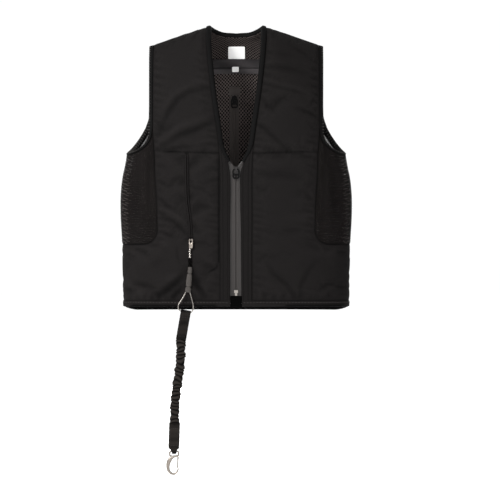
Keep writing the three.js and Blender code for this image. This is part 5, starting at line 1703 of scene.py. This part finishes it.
class VEST_OT_lining(bpy.types.Operator):
    """Spacer mesh inside the back"""

    bl_idname = "vest.lining"
    bl_label = "Lining"

    def execute(self, context):
        blank = CORNER_STEPS + SIDE_COLUMNS
        low = EDGES.back[LINING_MARGIN:].copy()
        upper = BAND_ROWS - LINING_MARGIN
        top = len(low) - LINING_MARGIN
        for row, column in ((0, 4), (upper, blank + LINING_MARGIN), (top, blank + YOKE_COLUMNS)):
            low[row:, :column], low[row:, -column:] = np.nan, np.nan
        grid = np.concatenate([low, EDGES.neck_cover[1:]])
        over = np.interp(np.arange(len(grid)), [len(low) - 8, len(low) - 2], [0, 0.95])[:, None]
        grid, over = grid[::2, ::2], over[::2]
        height = skin(np.nan_to_num(grid, nan=BLANK_PLACE))[..., 2]
        faces = faces_at(grid, WALL + CAD_SEAM + over, WALL + CAD_SEAM + LINING_WALL + over)
        # Painted shadow over the top of the lining, fading out between heights of -35 and -110 mm
        piece = dressed_layer("back_lining_mesh", faces, grid, "lining", ["back_lining"],
                              -1.4 * fade(-110, -35, height))
        return {"FINISHED"}


class VEST_OT_labels(bpy.types.Operator):
    """Satin neck band, plain label, plain tag and the cover of the inner zip"""

    bl_idname = "vest.labels"
    bl_label = "Band and labels"

    def execute(self, context):
        # These reliefs also paint shade in their dips, such as the band's crease line, and highlight on their
        # swells
        def band_relief(across, up):
            crease = 0.5 * np.sin(9 * across + 4 * up) * np.sin(3.0 * across)
            return crease - 0.9 * np.exp(-((up - 0.38) / 0.045) ** 2) + 0.6 * fade(0.36, 0.3, up)

        def label_relief(across, up):
            return 0.2 * np.sin(3.1 * across + 0.4) * up + 0.2 * fade(0.1, 0, up)

        def cover_relief(across, up):
            return 0.5 * np.exp(-((up - 0.5) / 0.3) ** 2) - 0.3 * np.exp(-((across - 0.5) / 0.2) ** 2)

        rows = (
            ("neck_band_satin", "neck_band", "satin", "satin",
             (0.0, 74.0, -47.8, -79.5), (1.4, NECK_INSIDE, 90, 30, band_relief, 0.5)),
            ("neck_label_plain", "neck_label", "label", "label",
             (0.5, 18.6, -20.0, -47.0), (0.8, NECK_INSIDE, 40, 30, label_relief, 2.0)),
            ("size_tag_plain", "size_tag", "label", "label",
             (-2.0, 7.3, -64.0, -75.5), (0.7, NECK_INSIDE + 1.8, 20, 20, label_relief, 2.0)),
            ("zip_cover_satin", "lining_zip_garage", "satin", "inner_tape",
             (LINING_ZIP_X, 12.5, -108.0, -127.8), (1.2, INSIDE, 30, 24, cover_relief, 0.5)),
        )
        for name, node, slot, surface, (x, half, top, bottom), make in rows:
            faces, at, relief = inside_sheet(x, half, top, bottom, *make)
            piece = dressed_layer(name, faces, at, slot, [node], relief, surface=surface)
        return {"FINISHED"}


class VEST_OT_inner_zip(bpy.types.Operator):
    """Tape and coil of the zip inside the back"""

    bl_idname = "vest.inner_zip"
    bl_label = "Inner zip"

    def execute(self, context):
        # The tape's relief also paints highlight along two lines near its edges
        def tape_relief(across, up):
            return 0.25 * np.exp(-((np.abs(across - 0.5) - 0.4) / 0.04) ** 2) + 0 * up

        faces, at, relief = inside_sheet(
            LINING_ZIP_X, 10.0, -128.4, LINING_ZIP_FOOT, 0.8, INSIDE, 30, 80, tape_relief)
        dressed_layer("inner_zip_tape", faces, at, "zip_tape", ["lining_zip_tape"], relief,
                      surface="inner_tape")
        z = np.linspace(LINING_ZIP_FOOT, -130.4, 800)
        centre = wall_point(place_at(LINING_ZIP_X, z, -1), INSIDE + 1.9)
        dressed_tubes("inner_zip_teeth", [toothed(centre, COIL_PITCH, 2.3, 0.7)], "black_plastic",
                      ["lining_zip_coil"], surface="inner_tape")
        return {"FINISHED"}


# Trigger

def outside(x, z, out):
    """Point in front of the vest's smooth surface, at a distance towards the viewer."""
    y = skin(place_at(x, z))[..., 1] - out
    return np.stack(np.broadcast_arrays(np.asarray(x, float), y, np.asarray(z, float)), axis=-1)


class VEST_OT_welt(bpy.types.Operator):
    """Lips of the trigger slit"""

    bl_idname = "vest.welt"
    bl_label = "Trigger slit"

    def execute(self, context):
        line = spline(SLIT, 160)
        across = np.linspace(-4, 4, 33)[None]
        at = place_at(line[:, :1] + across, line[:, 1:] + 0 * across)
        share = np.linspace(0, 1, len(line))
        ends = fade(0, 0.03, share) * fade(1, 0.97, share)
        lips = 1.9 * np.exp(-(((np.abs(across) - 1.8) / 1.5) ** 2)) - 0.5 * np.exp(-((across / 0.5) ** 2))
        open_gap = 0.5 + 0.5 * np.sin(np.linspace(0.4, 3.0, 161))[:, None]
        proud = 0.6 + lips * (0.35 + 0.65 * ends[:, None]) - 0.6 * open_gap * np.exp(-((across / 0.7) ** 2))
        dressed_layer("slit_lips", faces_at(at, -proud, 1.6), at, "softshell", ["pocket_welt"])
        return {"FINISHED"}


# Clip on the trigger line: its hole in front view and its reach from there
CLIP = (-93.4, -438.3)
CLIP_HOLE = 2.3
CLIP_HALF = 4.2
CLIP_TOP = 6.2
CLIP_FOOT = 14.0

# Turned beads on the trigger line: height and radius
BEADS = np.array([
    (-452.5, 1.3), (-453.4, 2.4), (-455, 2.9), (-456.6, 2.4), (-457.4, 1.1), (-458.2, 2.2), (-459.6, 2.6),
    (-461, 2.2), (-461.8, 1.1), (-462.6, 2.6), (-464.6, 3.2), (-466.6, 2.6), (-467.6, 1.2), (-468.6, 2.5),
    (-472, 2.6),
])

# Sleeve of the cable: x, z, half-width and half-thickness
SLEEVE = np.array([
    (-95.0, -491, 3.6, 3.4), (-95.1, -493, 4.2, 3.8), (-95.8, -503, 4.5, 3.9), (-95.9, -504, 3.4, 2.9),
    (-96.0, -505, 3.4, 2.9), (-96.1, -506, 4.6, 3.9), (-98.3, -530.6, 5.3, 3.7), (-98.4, -531.8, 4.0, 2.6),
    (-98.5, -532.8, 4.0, 2.6), (-98.7, -534, 5.4, 3.6), (-99.6, -543.6, 6.2, 2.9),
])


class VEST_OT_trigger(bpy.types.Operator):
    """Beads, cord, sleeve and wire ring of the trigger cable"""

    bl_idname = "vest.trigger"
    bl_label = "Trigger cable"

    def execute(self, context):
        bead = spline(BEADS, 90)
        centre = outside(np.full(len(bead), TRIGGER_X), bead[:, 0], TRIGGER_OUT)
        rings = swept(centre, bead[:, 1], bead[:, 1], 24)
        dressed_tubes("trigger_bead_chain", [rings], "steel", ["trigger_beads"], surface="bead")
        self.clip()
        self.cord()
        x, z, wide, thick = spline(SLEEVE, 200).T
        rings = swept(outside(x, z, TRIGGER_OUT), wide, thick, 28, squareness=2.5)
        dressed_tubes("cable_sleeve_shrunk", [rings], "sleeve", ["cable_sleeve"])
        x, z = spline(RING, 160).T
        near = outside(*RING_TOP, TRIGGER_OUT)[1]
        centre = np.stack([x, mix(near, STRAP_Y, fade(RING_TOP[1], RING_LEVEL, z)), z], axis=-1)
        rings = swept(centre, RING_WIRE, RING_WIRE, 16)
        dressed_tubes("wire_ring_bent", [rings], "steel", ["wire_ring"], surface="wire")
        return {"FINISHED"}

    def clip(self):
        """Metal clip round a hole: rings of points from the hole to an outline that is a superellipse, taller
        below, with a notch between two ears on top. Its face swells towards its foot."""
        angle = np.linspace(0, 2 * np.pi, 120, endpoint=False)[:, None]
        share = np.linspace(0, 1, 14)[None]
        tall = np.where(np.sin(angle) > 0, CLIP_TOP, CLIP_FOOT)
        edge = ((np.abs(np.cos(angle)) / CLIP_HALF) ** 5 + (np.abs(np.sin(angle)) / tall) ** 5) ** -0.2
        edge = edge * (1 - 0.42 * np.exp(-(((angle - np.pi / 2) / 0.3) ** 2)))
        radius = mix(CLIP_HOLE, edge, share)
        x, z = CLIP[0] + radius * np.cos(angle), CLIP[1] + radius * np.sin(angle)
        rim = np.exp(-((share / 0.12) ** 2)) + np.exp(-(((1 - share) / 0.12) ** 2))
        front = mix(1.0, 3.2, fade(-436, -446, z)) - 0.8 * rim
        middle = outside(x, np.full(x.shape, CLIP[1]), TRIGGER_OUT)
        middle[..., 2] = z
        forward = np.array([0, -1.0, 0])
        back = 1.6 - 0.5 * rim
        solid = slab(middle + front[..., None] * forward, middle - back[..., None] * forward, True)
        uv = np.stack([x, z], axis=-1).reshape(-1, 2)
        dressed("trigger_clip", solid, "steel", ["trigger_fitting"], np.concatenate([uv, uv]), 60)

    def cord(self):
        """Two cord legs side by side, with a twist along each."""
        z = np.linspace(-472.4, -490.6, 40)
        parts = []
        for side in (-1, 1):
            x = TRIGGER_X + side * (2.1 + 0.25 * np.cos(0.5 * z))
            centre = outside(x, z, TRIGGER_OUT)
            twist = 1.1 * (1 + 0.06 * np.sin(2.4 * z))
            parts.append(swept(centre, twist, twist, 14))
        dressed_tubes("trigger_cord_legs", parts, "black_plastic", ["trigger_cord"])


# Topstitching

def threads(centre, up, radius):
    """Six-sided threads along rows of points, thin at both ends. Returns the points and faces of all."""
    count, steps = centre.shape[:2]
    along = unit(np.gradient(centre, axis=1))
    across = unit(np.cross(along, up))
    up = np.cross(across, along)
    angle = np.linspace(0, 2 * np.pi, 6, endpoint=False)
    thick = np.full(steps, radius)
    thick[[0, -1]] *= 0.55
    c, s = (f[None, None, :, None] for f in (np.cos(angle), np.sin(angle)))
    rings = centre[:, :, None] + thick[None, :, None, None] * (across[:, :, None] * c + up[:, :, None] * s)
    number = np.arange(6 * steps).reshape(steps, 6)
    after = np.roll(number, -1, axis=1)
    sides = np.stack([number[:-1], after[:-1], after[1:], number[1:]], -1).reshape(-1, 4)
    last = 6 * (steps - 1)
    caps = np.array([(3, 2, 1, 0), (5, 4, 3, 0), (last, last + 1, last + 2, last + 3),
                     (last, last + 3, last + 4, last + 5)])
    one = np.concatenate([sides, caps])
    faces = one[None] + (6 * steps * np.arange(count))[:, None, None]
    return rings.reshape(-1, 3), faces.reshape(-1, 4)


def stitched(points, normals, length, gap=0.4, radius=0.32):
    """Row of stitches on a line of points: each is a short thread whose middle stands off the cloth and
    whose ends dip into it."""
    run = length_along(points)
    pitch = length * (1 + gap)
    start = np.arange(0.5 * pitch, run[-1] - length, pitch)
    share = np.linspace(0, 1, 5)
    at = start[:, None] + share[None] * length
    up = unit(follow(at, run, normals))
    centre = follow(at, run, points) + up * (radius * (1.6 * np.sin(np.pi * share) - 0.5))[None, :, None]
    return threads(centre, up, radius)


# Line of an overcast thread over a binding, with the columns of its section
OVERCAST_SECTION = np.array([
    (0.7, -0.4), (0.5, -0.4), (0.25, -0.4), (0.08, 0.8), (0.0, 3.0), (-0.03, 5.0),
    (0.0, 7.0), (0.08, 9.2), (0.25, 10.4), (0.5, 10.4), (0.7, 10.4),
])


def overcast(edge, far, pitch, slant, radius):
    """Threads sewn over an edge: each follows the binding's section from one face to the other, just off
    it, and slants along the edge by a given length."""
    run = length_along(skin(edge))
    shape = OVERCAST_SECTION
    start = np.arange(pitch, run[-1] - pitch, pitch)
    at = start[:, None] + slant * np.linspace(-0.5, 0.5, len(shape))[None]
    places = mix(follow(at, run, edge), follow(at, run, far), shape[None, :, :1])
    outward = np.sign(WALL / 2 - shape[:, 1])[None]
    deep = shape[None, :, 1] + arm_sink(follow(at, run, edge)[:, :1])
    centre = wall_point(places, deep - (0.1 + 0.5 * radius) * outward)
    up = frame_at(places)[3] * outward[..., None]
    middle = np.abs(shape[:, 1] - WALL / 2) < 3
    sideways = unit(skin(follow(at, run, edge)) - skin(follow(at, run, far)))
    up[:, middle] = sideways[:, middle]
    return threads(centre, up, radius)


def surface_row(at, depth):
    """Points and normals along a line of places at a depth, for stitching."""
    return wall_point(at, np.full(len(at), depth)), frame_at(at)[3]


class VEST_OT_stitching(bpy.types.Operator):
    """Topstitching of the hem, armholes and webbing"""

    bl_idname = "vest.stitching"
    bl_label = "Topstitching"

    def execute(self, context):
        length = context.scene.vest_sizes.stitch / MM
        seam = hem_path(HEM_STEP)
        sway = 0.4 * np.sin(np.arange(len(seam)) / 4.1) * np.sin(np.arange(len(seam)) / 11)
        row = surface_row(seam + np.stack([0 * sway, 0.3 * HEM_HEIGHT + sway], axis=-1), -0.2)
        solid = stitched(*row, 1.1 * length, gap=0.9, radius=0.42)
        dressed("topstitching", solid, "softshell", [], None, 80, surface="hem_thread")
        self.bindings(length)
        self.lanyard(length)
        return {"FINISHED"}

    def bindings(self, length):
        """Slanted threads over the edge of each armhole."""
        edge, far = EDGES.arm, inset(EDGES.arm, -0.8 * EDGES.arm_widths, True)
        sides = ((edge, far), (mirror(edge), mirror(far)))
        sewn = (overcast(*side, pitch=1.9 * length, slant=0.9 * length, radius=0.36) for side in sides)
        solid = merged(*sewn)
        dressed("binding_stitching", solid, "binding", [], None, 80, surface="edge_thread")

    def lanyard(self, length):
        """A box of stitches on each flat band: a row down each side and one across each end."""
        rows = []
        towards = np.array([0, -1.0, 0])
        for a, b, half, front in ((RING_BAR, TAB_FOOT, 8.2, 2.45), (BUNGEE_FOOT, STRAP_FOOT, 8.6, 2.5)):
            for side in (-1, 1):
                line = lean_point(np.linspace(0.2, 0.86, 60), a, b) + np.array([side * half, -front, 0])
                rows.append((line, np.broadcast_to(towards, line.shape)))
            for t in (0.2, 0.86):
                across = np.linspace(-half, half, 30)[:, None] * np.array([1.0, 0, 0])
                line = lean_point(np.array([t]), a, b)[0] + across + front * towards
                rows.append((line, np.broadcast_to(towards, line.shape)))
        solid = merged(*(stitched(points, normals, 0.8 * length) for points, normals in rows))
        dressed("webbing_stitching", solid, "webbing", [], None, 80, surface="satin")


WELD_REACH = 0.02
METAL_ROUND = 0.35
METAL_CORNER = 35.0


class VEST_OT_hardware(bpy.types.Operator):
    """Rounds the edges of the zip sliders, pulls and stop and gives them their metal"""

    bl_idname = "vest.hardware"
    bl_label = "Zip metal"

    def execute(self, context):
        rows = (
            ("zip_slider", "zip_metal", "zip_metal"),
            ("zip_pull", "zip_metal", "dark_metal"),
            ("lining_zip_slider", "zip_metal", "dark_metal"),
            ("lining_zip_pull", "zip_metal", "dark_metal"),
            ("zip_stop", "steel", "wire"),
        )
        for node, slot, surface in rows:
            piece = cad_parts[node]
            piece.data.materials.clear()
            piece.data.materials.append(finish(surface))
            weld = piece.modifiers.new("weld", "WELD")
            weld.merge_threshold = WELD_REACH * MM
            bevel = piece.modifiers.new("round", "BEVEL")
            bevel.width = METAL_ROUND * MM
            bevel.segments = 3
            bevel.limit_method = "ANGLE"
            bevel.angle_limit = np.radians(METAL_CORNER)
        return {"FINISHED"}


class VEST_PT_panel(bpy.types.Panel):
    """Lists the steps that build the vest"""

    bl_idname = "VEST_PT_panel"
    bl_label = "Airbag vest"
    bl_space_type = "VIEW_3D"
    bl_region_type = "UI"
    bl_category = "Vest"

    def draw(self, context):
        layout = self.layout
        for group in (context.scene.vest_sizes, context.scene.vest_colours):
            for key in group.__annotations__:
                layout.prop(group, key)
        for step in STEPS:
            layout.operator(step.bl_idname)


STEPS = (
    VEST_OT_stage, VEST_OT_lanyard, VEST_OT_panels, VEST_OT_side_mesh, VEST_OT_bindings, VEST_OT_hem,
    VEST_OT_plackets, VEST_OT_front_zip, VEST_OT_lining, VEST_OT_labels, VEST_OT_inner_zip, VEST_OT_welt,
    VEST_OT_trigger, VEST_OT_stitching, VEST_OT_hardware,
)
CLASSES = (VestSizes, VestColours, *STEPS, VEST_PT_panel)


def register():
    for cls in CLASSES:
        bpy.utils.register_class(cls)
    bpy.types.Scene.vest_sizes = PointerProperty(type=VestSizes)
    bpy.types.Scene.vest_colours = PointerProperty(type=VestColours)


def unregister():
    del bpy.types.Scene.vest_colours
    del bpy.types.Scene.vest_sizes
    for cls in reversed(CLASSES):
        bpy.utils.unregister_class(cls)


def main():
    """Builds the vest step by step."""
    register()
    for step in STEPS:
        family, name = step.bl_idname.split(".")
        getattr(getattr(bpy.ops, family), name)()


if __name__ == "__main__":
    main()
